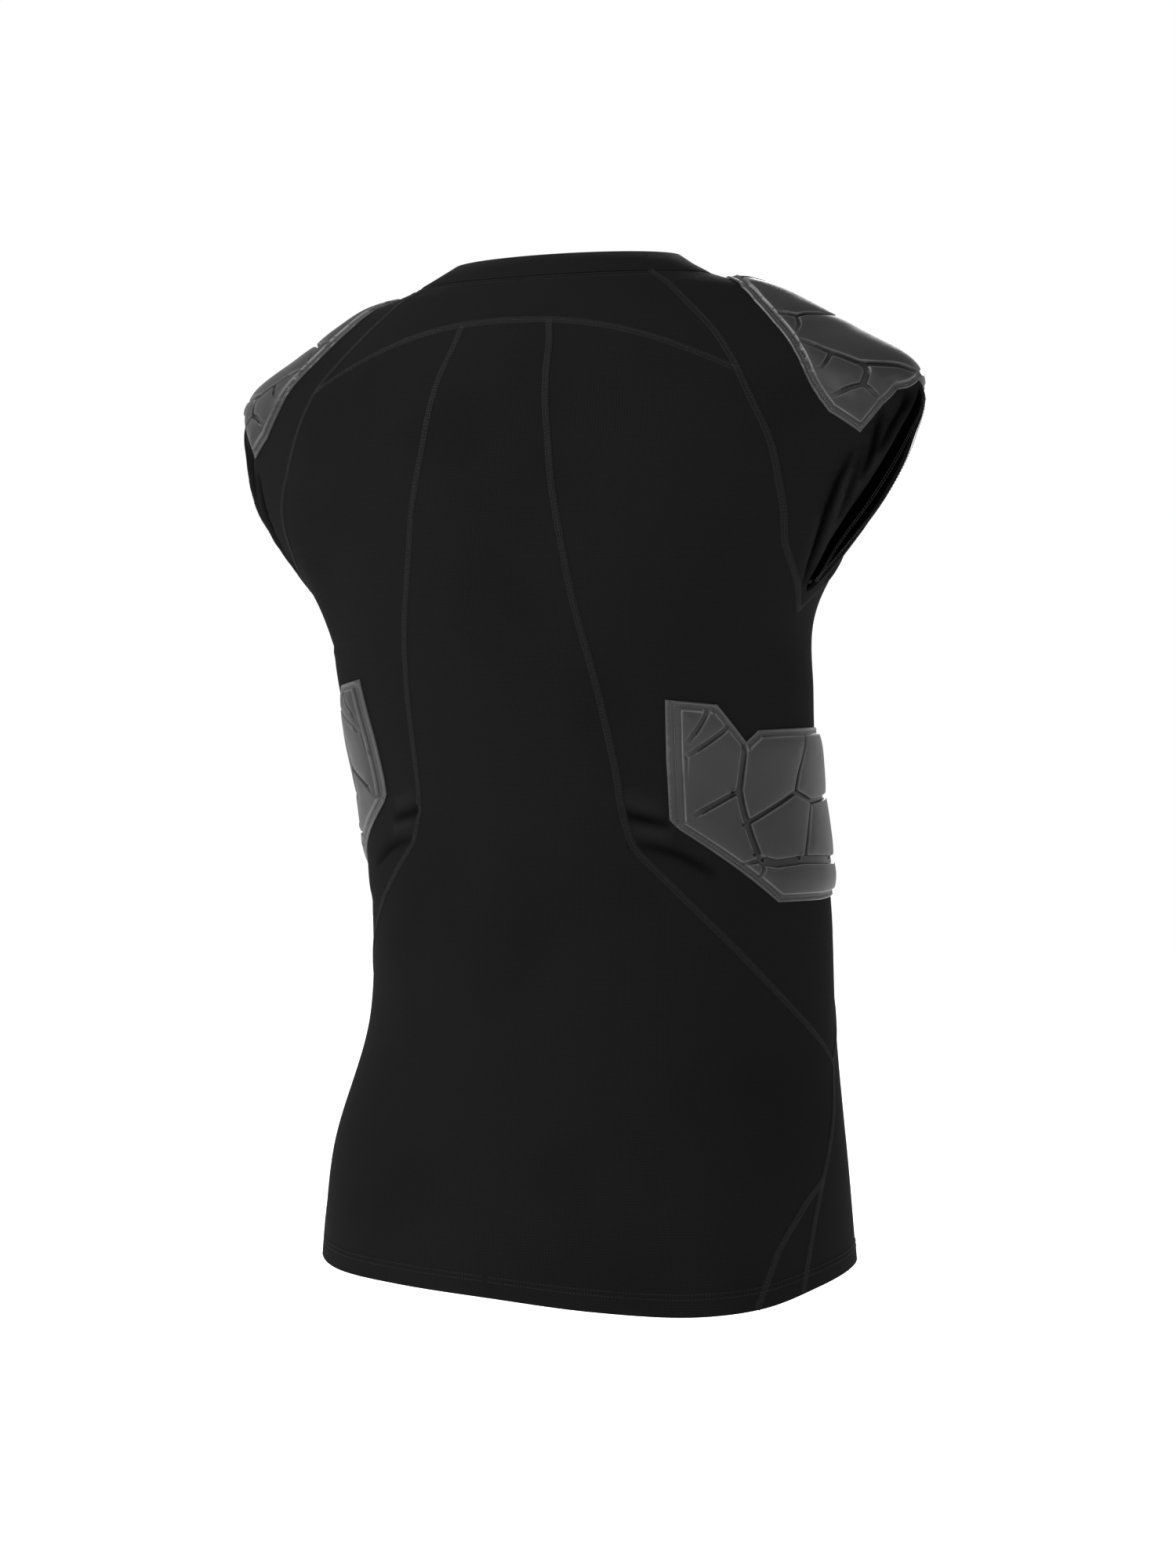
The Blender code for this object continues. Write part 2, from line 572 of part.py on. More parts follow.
def add_neckband(material):
    """The folded band round the neck, sewn to the yoke, the shoulders and the front."""
    turns = np.concatenate([
        np.linspace(-RAGLAN_BACK_TURN, RAGLAN_BACK_TURN, NECK_BACK_STEPS + 1)[:-1],
        np.linspace(RAGLAN_BACK_TURN, RAGLAN_FRONT_TURN, NECK_SIDE_STEPS + 1)[:-1],
        np.linspace(RAGLAN_FRONT_TURN, 360 - RAGLAN_FRONT_TURN, NECK_FRONT_STEPS + 1)[:-1],
        np.linspace(360 - RAGLAN_FRONT_TURN, 360 - RAGLAN_BACK_TURN, NECK_SIDE_STEPS + 1)[:-1],
    ])
    low = NECK_SEAM + SEAM_GAP / 3
    heights = np.array([low, (low + BAND_TOP) / 2, BAND_TOP])
    places = np.stack(np.meshgrid(turns, heights), axis=-1).reshape(-1, 2)
    count = len(turns)
    faces = []
    for row in range(len(heights) - 1):
        for k in range(count):
            a = row * count + k
            b = row * count + (k + 1) % count
            faces += [(a, b, b + count), (a, b + count, a + count)]
    proud = (BAND_CLOTH - CLOTH) / 2
    points, polygons = wall(lifted(places, proud), lifted(places, proud - BAND_CLOTH),
                            np.array(faces))
    make_object("neckband", points, polygons, material)


def sleeve_outline():
    return joined(SEAMS["back_raglan_low"][::-1], SEAMS["front_raglan_low"],
                  SEAMS["front_raglan_high"],
                  level_line(RAGLAN_FRONT_TURN, RAGLAN_BACK_TURN, NECK_SEAM, NECK_SIDE_STEPS),
                  SEAMS["back_raglan_high"][::-1])


def side_outline():
    return joined(SEAMS["back_princess"], SEAMS["yoke_side"], SEAMS["back_raglan_low"][::-1],
                  SEAMS["front_raglan_low"], SEAMS["front_princess"][::-1])


def gusset_outline():
    return joined(SEAMS["gusset_back"],
                  SEAMS["gusset_front"][::-1],
                  level_line(GUSSET_FRONT_TURN, GUSSET_BACK_TURN, HEM, GUSSET_HEM_STEPS))


def yoke_outline():
    return joined(mirrored(SEAMS["back_raglan_high"][::-1]),
                  mirrored(SEAMS["yoke_side"][::-1]), SEAMS["yoke_middle"], SEAMS["yoke_side"],
                  SEAMS["back_raglan_high"],
                  level_line(RAGLAN_BACK_TURN, -RAGLAN_BACK_TURN, NECK_SEAM, NECK_BACK_STEPS))


def back_outline():
    half = joined(SEAMS["gusset_back"], SEAMS["side"], SEAMS["back_princess"])
    return joined(half, SEAMS["yoke_middle"][::-1], mirrored(half[::-1]),
                  level_line(-GUSSET_BACK_TURN, GUSSET_BACK_TURN, HEM, HEM_BACK_STEPS))


def front_outline():
    half = joined(SEAMS["gusset_front"], SEAMS["side"], SEAMS["front_princess"],
                  SEAMS["front_raglan_high"])
    return joined(half,
                  level_line(RAGLAN_FRONT_TURN, 360 - RAGLAN_FRONT_TURN, NECK_SEAM,
                             NECK_FRONT_STEPS),
                  mirrored(half[::-1], about=180),
                  level_line(360 - GUSSET_FRONT_TURN, GUSSET_FRONT_TURN, HEM, HEM_FRONT_STEPS))


def build():
    for piece in list(bpy.data.objects):
        bpy.data.objects.remove(piece, do_unlink=True)
    cloth = make_material("stretch_cloth", CLOTH_COLOUR, 0.72)
    band = make_material("band_cloth", BAND_COLOUR, 0.75)
    pad = make_material("pad_film", PAD_COLOUR, 0.42)
    folds = fold_points()

    add_neckband(band)
    add_cloth("back_yoke", yoke_outline(), cloth)
    add_cloth("centre_back", back_outline(), cloth)
    add_cloth("front", front_outline(), cloth)

    shoulder_edge = fine_loop(whole_edge(SHOULDER_EDGE), POINT_SPACING)
    shoulder_cells = whole_cells(SHOULDER_CELLS, SHOULDER_CELLS_MIRRORED)
    rib_edge = fine_loop(whole_edge(RIB_EDGE), POINT_SPACING)
    rib_cells = whole_cells(RIB_CELLS, RIB_CELLS_MIRRORED)

    for side, sign in (("right", 1), ("left", -1)):
        flip = np.array((sign, 1))
        shift = np.array(LEFT_RIB_SHIFT) if sign < 0 else np.zeros(2)
        ribs = (rib_edge + shift) * flip
        shoulder = shoulder_edge * flip
        sleeve = add_cloth("sleeve_" + side, sleeve_outline() * flip, cloth,
                           holes=[armhole() * flip], loops=[shoulder], folds=folds)
        add_pad("shoulder_pad_" + side, sleeve, shoulder,
                [cell * flip for cell in shoulder_cells], pad)
        panel = add_cloth("side_panel_" + side, side_outline() * flip, cloth,
                          loops=[ribs], folds=folds)
        add_pad("rib_pad_" + side, panel, ribs, [(cell + shift) * flip for cell in rib_cells], pad)
        add_cloth("hem_gusset_" + side, gusset_outline() * flip, cloth)


build()
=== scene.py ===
"""Looks of the padded compression shirt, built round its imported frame.

The cloth, seams, stitches and pads follow the same smooth tube as the frame's panels. A place on
the tube is a turn, in degrees from the centre back towards the wearer's right, and a height above
the hem. Lengths are millimetres in the tables and metres in the scene.
"""

import math

import bpy
import numpy as np
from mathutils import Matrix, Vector
from mathutils.geometry import delaunay_2d_cdt


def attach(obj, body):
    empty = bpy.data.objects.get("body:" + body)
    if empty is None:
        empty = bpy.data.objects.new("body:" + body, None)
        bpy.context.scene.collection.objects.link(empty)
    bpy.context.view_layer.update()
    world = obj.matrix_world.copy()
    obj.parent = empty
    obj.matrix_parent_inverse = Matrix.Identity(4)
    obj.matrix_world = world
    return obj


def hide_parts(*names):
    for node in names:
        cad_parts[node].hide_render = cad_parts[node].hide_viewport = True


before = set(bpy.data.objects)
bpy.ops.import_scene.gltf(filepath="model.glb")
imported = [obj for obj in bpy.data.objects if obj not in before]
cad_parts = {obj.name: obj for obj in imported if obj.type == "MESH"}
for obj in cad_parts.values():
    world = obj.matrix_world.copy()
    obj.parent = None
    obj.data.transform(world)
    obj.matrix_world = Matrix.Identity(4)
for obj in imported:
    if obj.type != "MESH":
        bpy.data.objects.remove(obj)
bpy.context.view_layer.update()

MM = 0.001
BODY = "root"

# Driving sizes
SHOULDER_HEIGHT = 620.0     # the origin's height above the hem
CLOTH = 1.1                 # thickness of one layer of knit
SEAM_GAP = 0.3              # between pieces that are sewn to each other
POINT_SPACING = 4.6         # between the cloth's points
FINE_SPACING = 2.2          # the same where it creases
PAD_SPACING = 2.2           # between the points of a pad's film
SEAM_STEP = 3.0             # between points along a seam

# The tube's rings, from the hem up to the neckband's top edge
RING_COLUMNS = ("height", "half_width", "wing", "back", "front", "centre_y",
                "back_rise", "front_drop", "right_drop", "boxy")
RINGS = (
    (0, 186, 0, 131, 140, 6, -10, -4, 4, 0.03),
    (69, 181, 0, 136, 133, 2, -2, 0, 2, 0.02),
    (159, 167, 0, 134, 128, -16, 2, 0, 0, 0),
    (248, 165, 0, 126, 122, -13, -3, 0, 0, 0),
    (321, 161, 0, 111, 122, 1, -9, 0, 0, 0),
    (384, 168, 0, 106, 131, 24, -4, 0, 0, 0),
    (432, 174, 0, 103, 143, 40, -1, 0, 0, 0),
    (474, 185, 21, 99, 151, 48, 0, 0, 0, 0),
    (510, 199, 37, 101, 151, 48, -1, 0, 0, 0),
    (547, 208, 44, 107, 143, 38, -1, 0, 0, 0),
    (575, 207, 50, 107, 130, 34, -4, 4, 0, 0),
    (592, 200, 46, 102, 120, 33, -4, 11, 0, 0),
    (613, 179, 31, 89, 105, 33, -1, 23, 0, 0),
    (632, 151, 26, 78, 91, 36, 0, 40, 0, 0),
    (649, 124, 18, 66, 80, 38, 0, 57, 0, 0),
    (659, 105, 4, 56, 71, 37, -2, 67, 0, 0),
    (674, 82, 0, 40, 61, 32, 0, 69, 0, 0),
)
WING_POWER = 12             # how closely the sleeves' wings keep to the sides
HEM = 0.0
# How far the hem is raised, as (turn, millimetres), and the height at which that has faded out
HEM_RISE = ((-180, 0), (-90, -1), (-45, -1.5), (-20, 2.8), (0, 4), (20, 1), (45, -2.7),
            (60, -1.8), (80, 4), (100, 7), (140, 3), (180, 0))
HEM_FADE = 90.0
NECK_SEAM = 659.0
BAND_TOP = 674.0

# Seams on the wearer's right, as (height, turn); the left ones mirror them
BACK_PRINCESS = ((138, 97), (185, 71), (227, 53), (269, 37.5), (290, 31), (306, 29), (342, 27.4),
                 (405, 23.9), (468, 18.5), (542, 13.1), (594, 11.5), (640, 11.5))
FRONT_PRINCESS = ((138, 97), (185, 118), (227, 133), (269, 144), (306, 149), (405, 150),
                  (480, 146), (530, 137), (560, 127), (568, 122.7))
BACK_RAGLAN = ((437, 88), (474, 70.6), (500, 65), (542, 57.6), (575, 52.2), (590, 51), (605, 50.5),
               (632, 51.5), (659, 52.5))
FRONT_RAGLAN = ((437, 88), (474, 106), (500, 112), (542, 119), (568, 122.7), (605, 127),
                (632, 127.5), (659, 126))
SIDE_SEAM = ((68, 85), (85, 89), (107, 94), (138, 97))
GUSSET_BACK = ((0, 58.5), (15, 62), (34, 67), (46, 72), (58, 78), (68, 85))
GUSSET_FRONT = ((0, 74), (16, 76), (32, 78.5), (48, 81), (68, 85))
GUSSET_BACK_TURN = 58.5     # the gusset's corners at the hem
GUSSET_FRONT_TURN = 74.0
GUSSET_TOP = 68.0
# The yoke seam, as (turn, height)
YOKE = ((0, 626), (15, 624), (30, 616), (45, 599), (51, 590), (60, 577))
PRINCESS_TOP = 11.5         # the turn at which the back princess seam meets the yoke

HIP = 138.0                 # where the side panel comes to a point
ARMPIT = 437.0              # where the raglan seams meet under the arm
YOKE_CORNER = (51.0, 590.0)
FRONT_CORNER = 568.0        # where the front princess seam meets the raglan seam

# The arm's opening is a narrow loop, as the empty sleeve hangs
ARMHOLE_LOW = (87.0, 449.0)
ARMHOLE_HIGH = (90.3, 579.0)
ARMHOLE_BACK = 7.3          # degrees from the middle line to its back edge
ARMHOLE_FRONT = 9.0

# The pads' edges, as the back half's turn, height and flange, which is how far in from that side
# the moulded part starts. The front half mirrors the back.
SHOULDER_EDGE = ((87, 654.5, 4.3), (81.5, 651.2, 4.3), (75.6, 645.4, 4.3), (71.6, 634.6, 4.3),
                 (69.4, 626.4, 4.3), (67.7, 619.4, 4.3), (66, 608.6, 4.3), (64.7, 600, 4.3),
                 (64.1, 592.4, 4.3), (64, 586, 4.3), (64.3, 580, 4.3), (64.8, 575, 4.3),
                 (65.7, 569, 4.3), (67.6, 560.8, 4.3), (74.5, 547.4, 4.3), (77.6, 565, 3.6),
                 (80.8, 574.5, 3.4), (84.4, 576.5, 3.2), (90, 582, 3.2))
RIB_EDGE = ((90, 361, 4), (68, 361, 4), (63.5, 354, 4), (55, 378, 4.4), (41, 382, 9.5),
            (40.2, 345, 9.5), (40, 307, 9.5), (42.5, 300, 4.4), (70, 248, 4.4), (90, 247, 4.4))

# The grooves between the pads' cells: half the floor's width, then turns, heights and how deep the
# groove is there, from 0 to 1
SHOULDER_GROOVES = (
    (1.0, ((84.6, 652.5, 0.5), (87.5, 648, 1), (90, 644.6, 1))),
    (1.1, ((71.2, 624, 0.25), (74.6, 621.6, 1), (78.5, 622.6, 1), (90, 621.6, 1))),
    (0.8, ((74.6, 621.6, 1), (72.2, 616, 0.8), (69.4, 611.5, 0.2))),
    (1.2, ((67.6, 605, 0.2), (70, 597.4, 0.8), (74.6, 589.2, 1), (82.6, 588.2, 1),
           (87, 585.4, 0.8), (90, 584.6, 0.2))),
    (0.9, ((70.6, 595.5, 0.8), (69.2, 592, 0.9), (67.3, 587.2, 0.15))),
    (1.5, ((75.2, 589, 1), (75.4, 584.5, 1), (73.7, 576.6, 1))),
    (1.1, ((73.7, 576.6, 1), (71.2, 574.6, 0.9), (68.5, 570.6, 0.3))),
    (1.1, ((73.9, 576.4, 1), (76.3, 569.2, 0.3))),
)
RIB_GROOVES = (
    (1.7, ((62.4, 352, 0.7), (61.6, 345, 1), (60.3, 333, 1), (59.4, 324, 1), (60, 313.6, 1),
           (60.9, 302.5, 1), (62.3, 289.6, 1), (63.8, 279, 1))),
    (1.5, ((59.2, 323.6, 1), (56, 320.6, 1), (50, 313.9, 0.9), (46.6, 310, 0.15))),
    (1.3, ((46, 349.2, 0.15), (50, 354.5, 0.8), (57.4, 364.4, 0.9))),
    (1.2, ((46.2, 357.6, 0.15), (48.4, 363.5, 0.8), (51.9, 374.8, 0.8))),
    (0.4, ((45.4, 347, 0.6), (45, 334, 0.1))),
    (0.9, ((58.8, 274.6, 0.2), (61.6, 275.6, 0.8), (64.4, 276.4, 1))),
    (0.9, ((64.6, 275, 1), (65.2, 270.5, 0.9), (63.6, 264.8, 0.3))),
)
RIB_MIDDLE_GROOVES = (
    (1.3, ((61, 302, 1), (69.6, 310.4, 1), (80.2, 320, 1))),
    (1.1, ((80.2, 320, 1), (82.8, 332.8, 1), (88.3, 350.4, 0.9), (89.6, 357, 0.2))),
    (1.2, ((80.2, 320, 1), (88.6, 312.4, 1), (108, 315, 1), (119.8, 319.4, 1))),
    (1.1, ((88.6, 312.4, 1), (84.6, 292.8, 1), (81.5, 277.2, 1))),
    (2.3, ((64.4, 276.4, 1), (69.4, 273.6, 1), (79.6, 274.8, 1), (105, 271.8, 1),
           (115.6, 276.4, 1))),
)
RIB_HOLES = ((57.4, 323.4), (59.8, 301.2), (62.4, 280.6), (65.2, 276.6), (79.2, 276.4),
             (100.8, 274), (114.8, 276.6), (117.6, 280.6), (120.2, 301.2), (122.6, 323.4))
LEFT_RIB_SHIFT = (3.5, 13.0)    # the left rib pad sits a little further round and higher

# Folds of the cloth: the side, which is 1 for the wearer's right, -1 for the left and 0 for both,
# the half width, the height over the cloth and the turns and heights of the fold's line
FOLDS = (
    (0, 2.3, -3.7, ((82.8, 453), (80, 465.6), (77.6, 481.6), (75.2, 497.6), (74, 516),
                    (74.2, 537))),
    (0, 2.2, 1.8, ((83.2, 458), (80.6, 477), (78.2, 494), (76.4, 510), (75.8, 538))),
    (0, 2.4, 1.3, ((81, 452), (77.8, 466), (75.8, 483), (73.8, 500))),
    (0, 2.2, -2.4, ((79.4, 492), (77.2, 515), (76, 540))),
    (0, 2.0, -1.8, ((84, 462), (82.4, 480), (80.8, 500), (80.6, 516))),
    (0, 2.4, -3.5, ((79.4, 517), (78.6, 538), (77.6, 562))),
    (0, 2.8, -3.6, ((80.4, 534), (81.6, 553.6), (83, 567), (84, 577))),
    (0, 2.4, -1.8, ((83, 560), (86, 575))),
    (0, 2.4, 1.2, ((85.4, 456), (82.4, 480), (80, 500), (79.6, 518), (81.4, 534), (84, 550),
                   (86.4, 563))),
    (0, 3.6, -3.3, ((95, 455), (99, 472), (103, 492), (106.4, 515), (107.6, 541))),
    (0, 3.0, 1.7, ((96.4, 462), (101, 488), (104.2, 510), (105, 533))),
    (0, 3.0, -2.6, ((100.4, 505), (102.6, 530), (103, 557))),
    (0, 3.2, -2.8, ((99.4, 538), (98.6, 556), (96.4, 573))),
    (0, 3.2, -2.6, ((27.6, 315), (31, 310.2), (35, 307), (40.5, 303.4))),
    (0, 3.4, -2.3, ((30.8, 292.6), (33.6, 289.8), (37, 288), (42.4, 283), (52, 268))),
    (0, 5.5, 1.2, ((28.6, 323), (34.4, 318), (39.4, 314))),
    (0, 5.0, 1.4, ((30.2, 304), (35.2, 300.4), (41, 296.4))),
    (0, 3.4, -2.4, ((150.6, 310), (146, 305.6), (138, 302.4))),
    (0, 3.6, -2.1, ((147, 284.6), (142, 283.4), (135, 280))),
    (0, 5.5, 1.2, ((149.6, 299), (144, 296), (138, 292.6))),
    (-1, 42.0, 5.5, ((64, 415), (70, 245))),
    (-1, 26.0, 2.5, ((62, 530), (62, 410))),
)
NARROW = 10.0               # half width up to which a fold needs finer triangles
FOLD_SEEN = 0.25            # and how far it has to move the cloth there
FOLD_SPREAD = 3.0           # half widths from a fold's line to where it has faded out
FOLD_DEGREE = 2.5           # millimetres of cloth in a degree of turn near the folds

# The plane in which panels are cut into triangles. Its units are about a millimetre of cloth, so
# heights are stretched where the shoulders slope.
DEGREE_SIZE = 2.9
SLOPE_START = 580.0
SLOPE_STRETCH = 1.2


# The tube


def pairs(ring):
    """Each item of a closed ring with the one after it."""
    return zip(ring, [*ring[1:], ring[0]])


def unit(vectors):
    return vectors / np.linalg.norm(vectors, axis=-1, keepdims=True)


def curve_through(table, keys):
    """Values of a two-column table at the given keys, on a smooth curve through its rows."""
    xs = np.array([row[0] for row in table], float)
    ys = np.array([row[1] for row in table], float)
    steps = np.diff(xs)
    slopes = np.diff(ys) / steps
    tangents = np.empty_like(ys)
    tangents[1:-1] = (slopes[:-1] * steps[1:] + slopes[1:] * steps[:-1]) / (steps[1:] + steps[:-1])
    tangents[0] = slopes[0]
    tangents[-1] = slopes[-1]
    keys = np.asarray(keys, float)
    i = np.clip(np.searchsorted(xs, keys) - 1, 0, len(xs) - 2)
    t = (keys - xs[i]) / steps[i]
    return ((2 * t**3 - 3 * t**2 + 1) * ys[i] + (t**3 - 2 * t**2 + t) * steps[i] * tangents[i]
            + (3 * t**2 - 2 * t**3) * ys[i + 1] + (t**3 - t**2) * steps[i] * tangents[i + 1])


RING_CURVES = {name: [(ring[0], ring[k]) for ring in RINGS] for k, name in enumerate(RING_COLUMNS)}


def tube(places):
    """Points of the tube, in millimetres, at an array of (turn, height)."""
    places = np.asarray(places, float)
    turn = np.radians(places[..., 0])
    height = places[..., 1]
    ring = {name: curve_through(RING_CURVES[name], height) for name in RING_COLUMNS[1:]}
    sine = np.sin(turn)
    cosine = np.cos(turn)
    boxy = ring["boxy"]
    across = ring["half_width"] * (sine + boxy * np.sin(3 * turn)) / (1 - boxy)
    across += ring["wing"] * np.sign(sine) * np.abs(sine) ** WING_POWER
    depth = np.where(cosine > 0, ring["back"], ring["front"])
    back = ring["centre_y"] + depth * (cosine - boxy * np.cos(3 * turn)) / (1 - boxy)
    lean = np.where(cosine > 0, ring["back_rise"], -ring["front_drop"]) * cosine**2
    up = height + lean - ring["right_drop"] * sine - SHOULDER_HEIGHT
    rise = curve_through(HEM_RISE, (places[..., 0] + 180) % 360 - 180)
    up += rise * np.clip(1 - height / HEM_FADE, 0, 1)
    return np.stack([-across, back, up], axis=-1)


def tube_slopes(places):
    """How the tube's points move with the turn and with the height."""
    places = np.asarray(places, float)
    small = 0.05
    by_turn = (tube(places + [small, 0]) - tube(places - [small, 0])) / (2 * small)
    by_height = (tube(places + [0, small]) - tube(places - [0, small])) / (2 * small)
    return by_turn, by_height


def outward(places):
    """Unit vectors that point out of the tube."""
    return unit(np.cross(*tube_slopes(places)))


def fold_depths(places, widest=math.inf):
    """How far the folds move the cloth out, in millimetres, at an array of (turn, height)."""
    places = np.asarray(places, float)
    turn = (places[..., 0] + 180) % 360 - 180
    here = np.stack([np.abs(turn) * FOLD_DEGREE, places[..., 1]], axis=-1)
    depths = np.zeros(turn.shape)
    for side, half_width, depth, line in FOLDS:
        if half_width > widest:
            continue
        spots = np.array(line, float) * (FOLD_DEGREE, 1)
        low = spots.min(axis=0) - FOLD_SPREAD * half_width
        high = spots.max(axis=0) + FOLD_SPREAD * half_width
        near = ((here > low) & (here < high)).all(axis=-1)
        if side:
            near &= turn * side > 0
        if not near.any():
            continue
        away, along = nearest_share(here[near], spots)
        taper = np.clip(4 * along * (1 - along), 0, 1) ** 0.5
        depths[near] += depth * taper * np.exp(-(away / half_width) ** 2)
    return depths


def nearest_share(points, spots):
    """Distance from points to a line through spots, and the share of its length up to there."""
    legs = np.diff(spots, axis=0)
    lengths = np.linalg.norm(legs, axis=1)
    starts = np.concatenate([[0], np.cumsum(lengths)])
    best = np.full(len(points), np.inf)
    share = np.zeros(len(points))
    for k, run in enumerate(legs):
        t = np.clip((points - spots[k]) @ run / max(lengths[k] ** 2, 1e-9), 0, 1)
        away = ((points - spots[k] - t[:, None] * run) ** 2).sum(axis=1)
        share = np.where(away < best, (starts[k] + t * lengths[k]) / starts[-1], share)
        best = np.minimum(best, away)
    return np.sqrt(best), share


def smooth(x):
    """A soft step from 0 to 1."""
    x = np.clip(x, 0, 1)
    return x * x * (3 - 2 * x)


def lifted(places, lift=0.0):
    """Points at a distance outside the folded cloth's surface, in metres."""
    places = np.asarray(places, float)
    distance = fold_depths(places) + lift
    return (tube(places) + outward(places) * distance[..., None]) * MM


def cloth_metric(places):
    """Millimetres of cloth in a degree of turn, and a height's shear and rise."""
    by_turn, by_height = tube_slopes(places)
    turn_size = np.linalg.norm(by_turn, axis=-1)
    shear = (by_height * by_turn).sum(-1) / turn_size
    rise = np.sqrt((by_height**2).sum(-1) - shear**2)
    return turn_size, shear, rise


def beside(line, distance, closed=False):
    """A line of places moved sideways along the cloth, to the left of the way it runs."""
    line = np.asarray(line, float)
    if closed:
        step = np.roll(line, -1, axis=0) - np.roll(line, 1, axis=0)
    else:
        step = np.gradient(line, axis=0)
    turn_size, shear, rise = cloth_metric(line)
    run = unit(np.stack([step[:, 0] * turn_size + step[:, 1] * shear, step[:, 1] * rise], axis=1))
    height_shift = run[:, 0] * distance / rise
    turn_shift = (-run[:, 1] * distance - height_shift * shear) / turn_size
    return line + np.stack([turn_shift, height_shift], axis=1)


def aside(line, distance):
    """A line moved sideways like beside, but so far that the distance holds where cloth curves."""
    moved = beside(line, distance)
    reach = np.linalg.norm(tube(moved) - tube(line), axis=1)
    return line + (moved - line) * (abs(distance) / np.maximum(reach, SAME_PLACE))[:, None]


SHARPEST = 0.35             # keeps the inset of a sharp corner from running far
SAME_PLACE = 1e-6           # places nearer than this are one


def way_round(loop):
    """1 for a closed loop of places that has its inside on its left, or -1."""
    after = np.roll(loop, -1, axis=0)
    return 1 if (loop[:, 0] * after[:, 1] - after[:, 0] * loop[:, 1]).sum() > 0 else -1


def inset(loop, distance):
    """A closed loop of places moved inwards by a distance along the cloth."""
    loop = np.asarray(loop, float)
    turn_size, shear, rise = cloth_metric(loop)
    inwards = way_round(loop)
    moved = np.empty_like(loop)
    for i, place in enumerate(loop):
        normals = []
        for step in (place - loop[i - 1], loop[(i + 1) % len(loop)] - place):
            flat = unit(np.array([step[0] * turn_size[i] + step[1] * shear[i], step[1] * rise[i]]))
            normals.append(inwards * np.array([-flat[1], flat[0]]))
        total = normals[0] + normals[1]
        shift = distance * total / max(SHARPEST, 1 + normals[0] @ normals[1])
        height_shift = shift[1] / rise[i]
        turn_shift = (shift[0] - height_shift * shear[i]) / turn_size[i]
        moved[i] = place + (turn_shift, height_shift)
    return moved


# Cutting panels into triangles

LINE_APART = 0.38           # how near to each other the points on lines may lie
RING_CLEAR = 0.5            # how near points may come to an outline
LINE_CLEAR = 0.55           # and free points to a line's, as a share of the fine spacing
ROW_RISE = 0.87             # of a lattice's rows, as a share of its spacing
LINE_NUMBERS = 1000000      # apart from one line's first number to the next one's


def to_plane(places):
    """Points of the cutting plane at an array of (turn, height)."""
    places = np.asarray(places, float)
    extra = SLOPE_STRETCH * np.maximum(places[..., 1] - SLOPE_START, 0)
    return np.stack([places[..., 0] * DEGREE_SIZE, places[..., 1] + extra], axis=-1)


def from_plane(points):
    """The (turn, height) of points of the cutting plane."""
    points = np.asarray(points, float)
    extra = np.maximum(points[..., 1] - SLOPE_START, 0)
    height = points[..., 1] - extra + extra / (1 + SLOPE_STRETCH)
    return np.stack([points[..., 0] / DEGREE_SIZE, height], axis=-1)


def inside(points, loop):
    """Which points of the plane lie inside a closed loop."""
    result = np.zeros(len(points), bool)
    for a, b in pairs(loop):
        crosses = (a[1] > points[:, 1]) != (b[1] > points[:, 1])
        if a[1] != b[1]:
            meet = a[0] + (points[:, 1] - a[1]) * (b[0] - a[0]) / (b[1] - a[1])
            result ^= crosses & (points[:, 0] < meet)
    return result


def within(points, rings):
    """Which points of the plane lie inside an outline, the first ring, and outside its holes."""
    result = inside(points, rings[0])
    for hole in rings[1:]:
        result &= ~inside(points, hole)
    return result


def distance_to_loop(points, loop):
    """Distance in the plane from each point to the nearest edge of a closed loop."""
    nearest = np.full(len(points), np.inf)
    for a, b in pairs(loop):
        run = b - a
        t = np.clip((points - a) @ run / max(run @ run, 1e-9), 0, 1)
        away = points - a - t[:, None] * run
        nearest = np.minimum(nearest, (away**2).sum(axis=1))
    return np.sqrt(nearest)


def clear_within(points, rings):
    """Numbers of the points that lie within an outline and its holes, and clear of them."""
    numbers = np.flatnonzero(within(points, rings))
    for ring in rings:
        numbers = numbers[distance_to_loop(points[numbers], ring) > RING_CLEAR]
    return numbers


def lattice(loop, spacing):
    """Staggered rows of points over a loop's extent in the plane, the same rows for every loop."""
    low = np.floor(loop.min(axis=0) / spacing).astype(int) - 1
    high = np.ceil(loop.max(axis=0) / spacing).astype(int) + 1
    columns = np.arange(low[0], high[0] + 1)
    rows = np.arange(int(low[1] / ROW_RISE) - 2, int(high[1] / ROW_RISE) + 2)
    across, up = np.meshgrid(columns, rows)
    points = np.stack([(across + 0.5 * (up % 2)) * spacing, up * spacing * ROW_RISE], axis=-1)
    return points.reshape(-1, 2)


def creased(points):
    """Which points of the plane lie where a fold needs finer triangles."""
    return np.abs(fold_depths(from_plane(points), NARROW)) > FOLD_SEEN


def flood(flat, faces, barriers, rings):
    """The triangles that no barrier edge parts from the largest one within the rings."""
    walls = {frozenset(edge) for ring in barriers for edge in pairs(ring)}
    edges = [[frozenset(edge) for edge in pairs(face)] for face in faces.tolist()]
    neighbours = {}
    for k, sides in enumerate(edges):
        for edge in sides:
            neighbours.setdefault(edge, []).append(k)
    corners = flat[faces]
    legs = corners[:, 1:] - corners[:, :1]
    area = np.abs(legs[:, 0, 0] * legs[:, 1, 1] - legs[:, 0, 1] * legs[:, 1, 0])
    start = int(np.argmax(area * within(corners.mean(axis=1), rings)))
    reached = {start}
    waiting = [start]
    while waiting:
        for edge in edges[waiting.pop()]:
            beyond = [] if edge in walls else neighbours[edge]
            waiting += [k for k in beyond if k not in reached]
            reached.update(beyond)
    return faces[sorted(reached)]


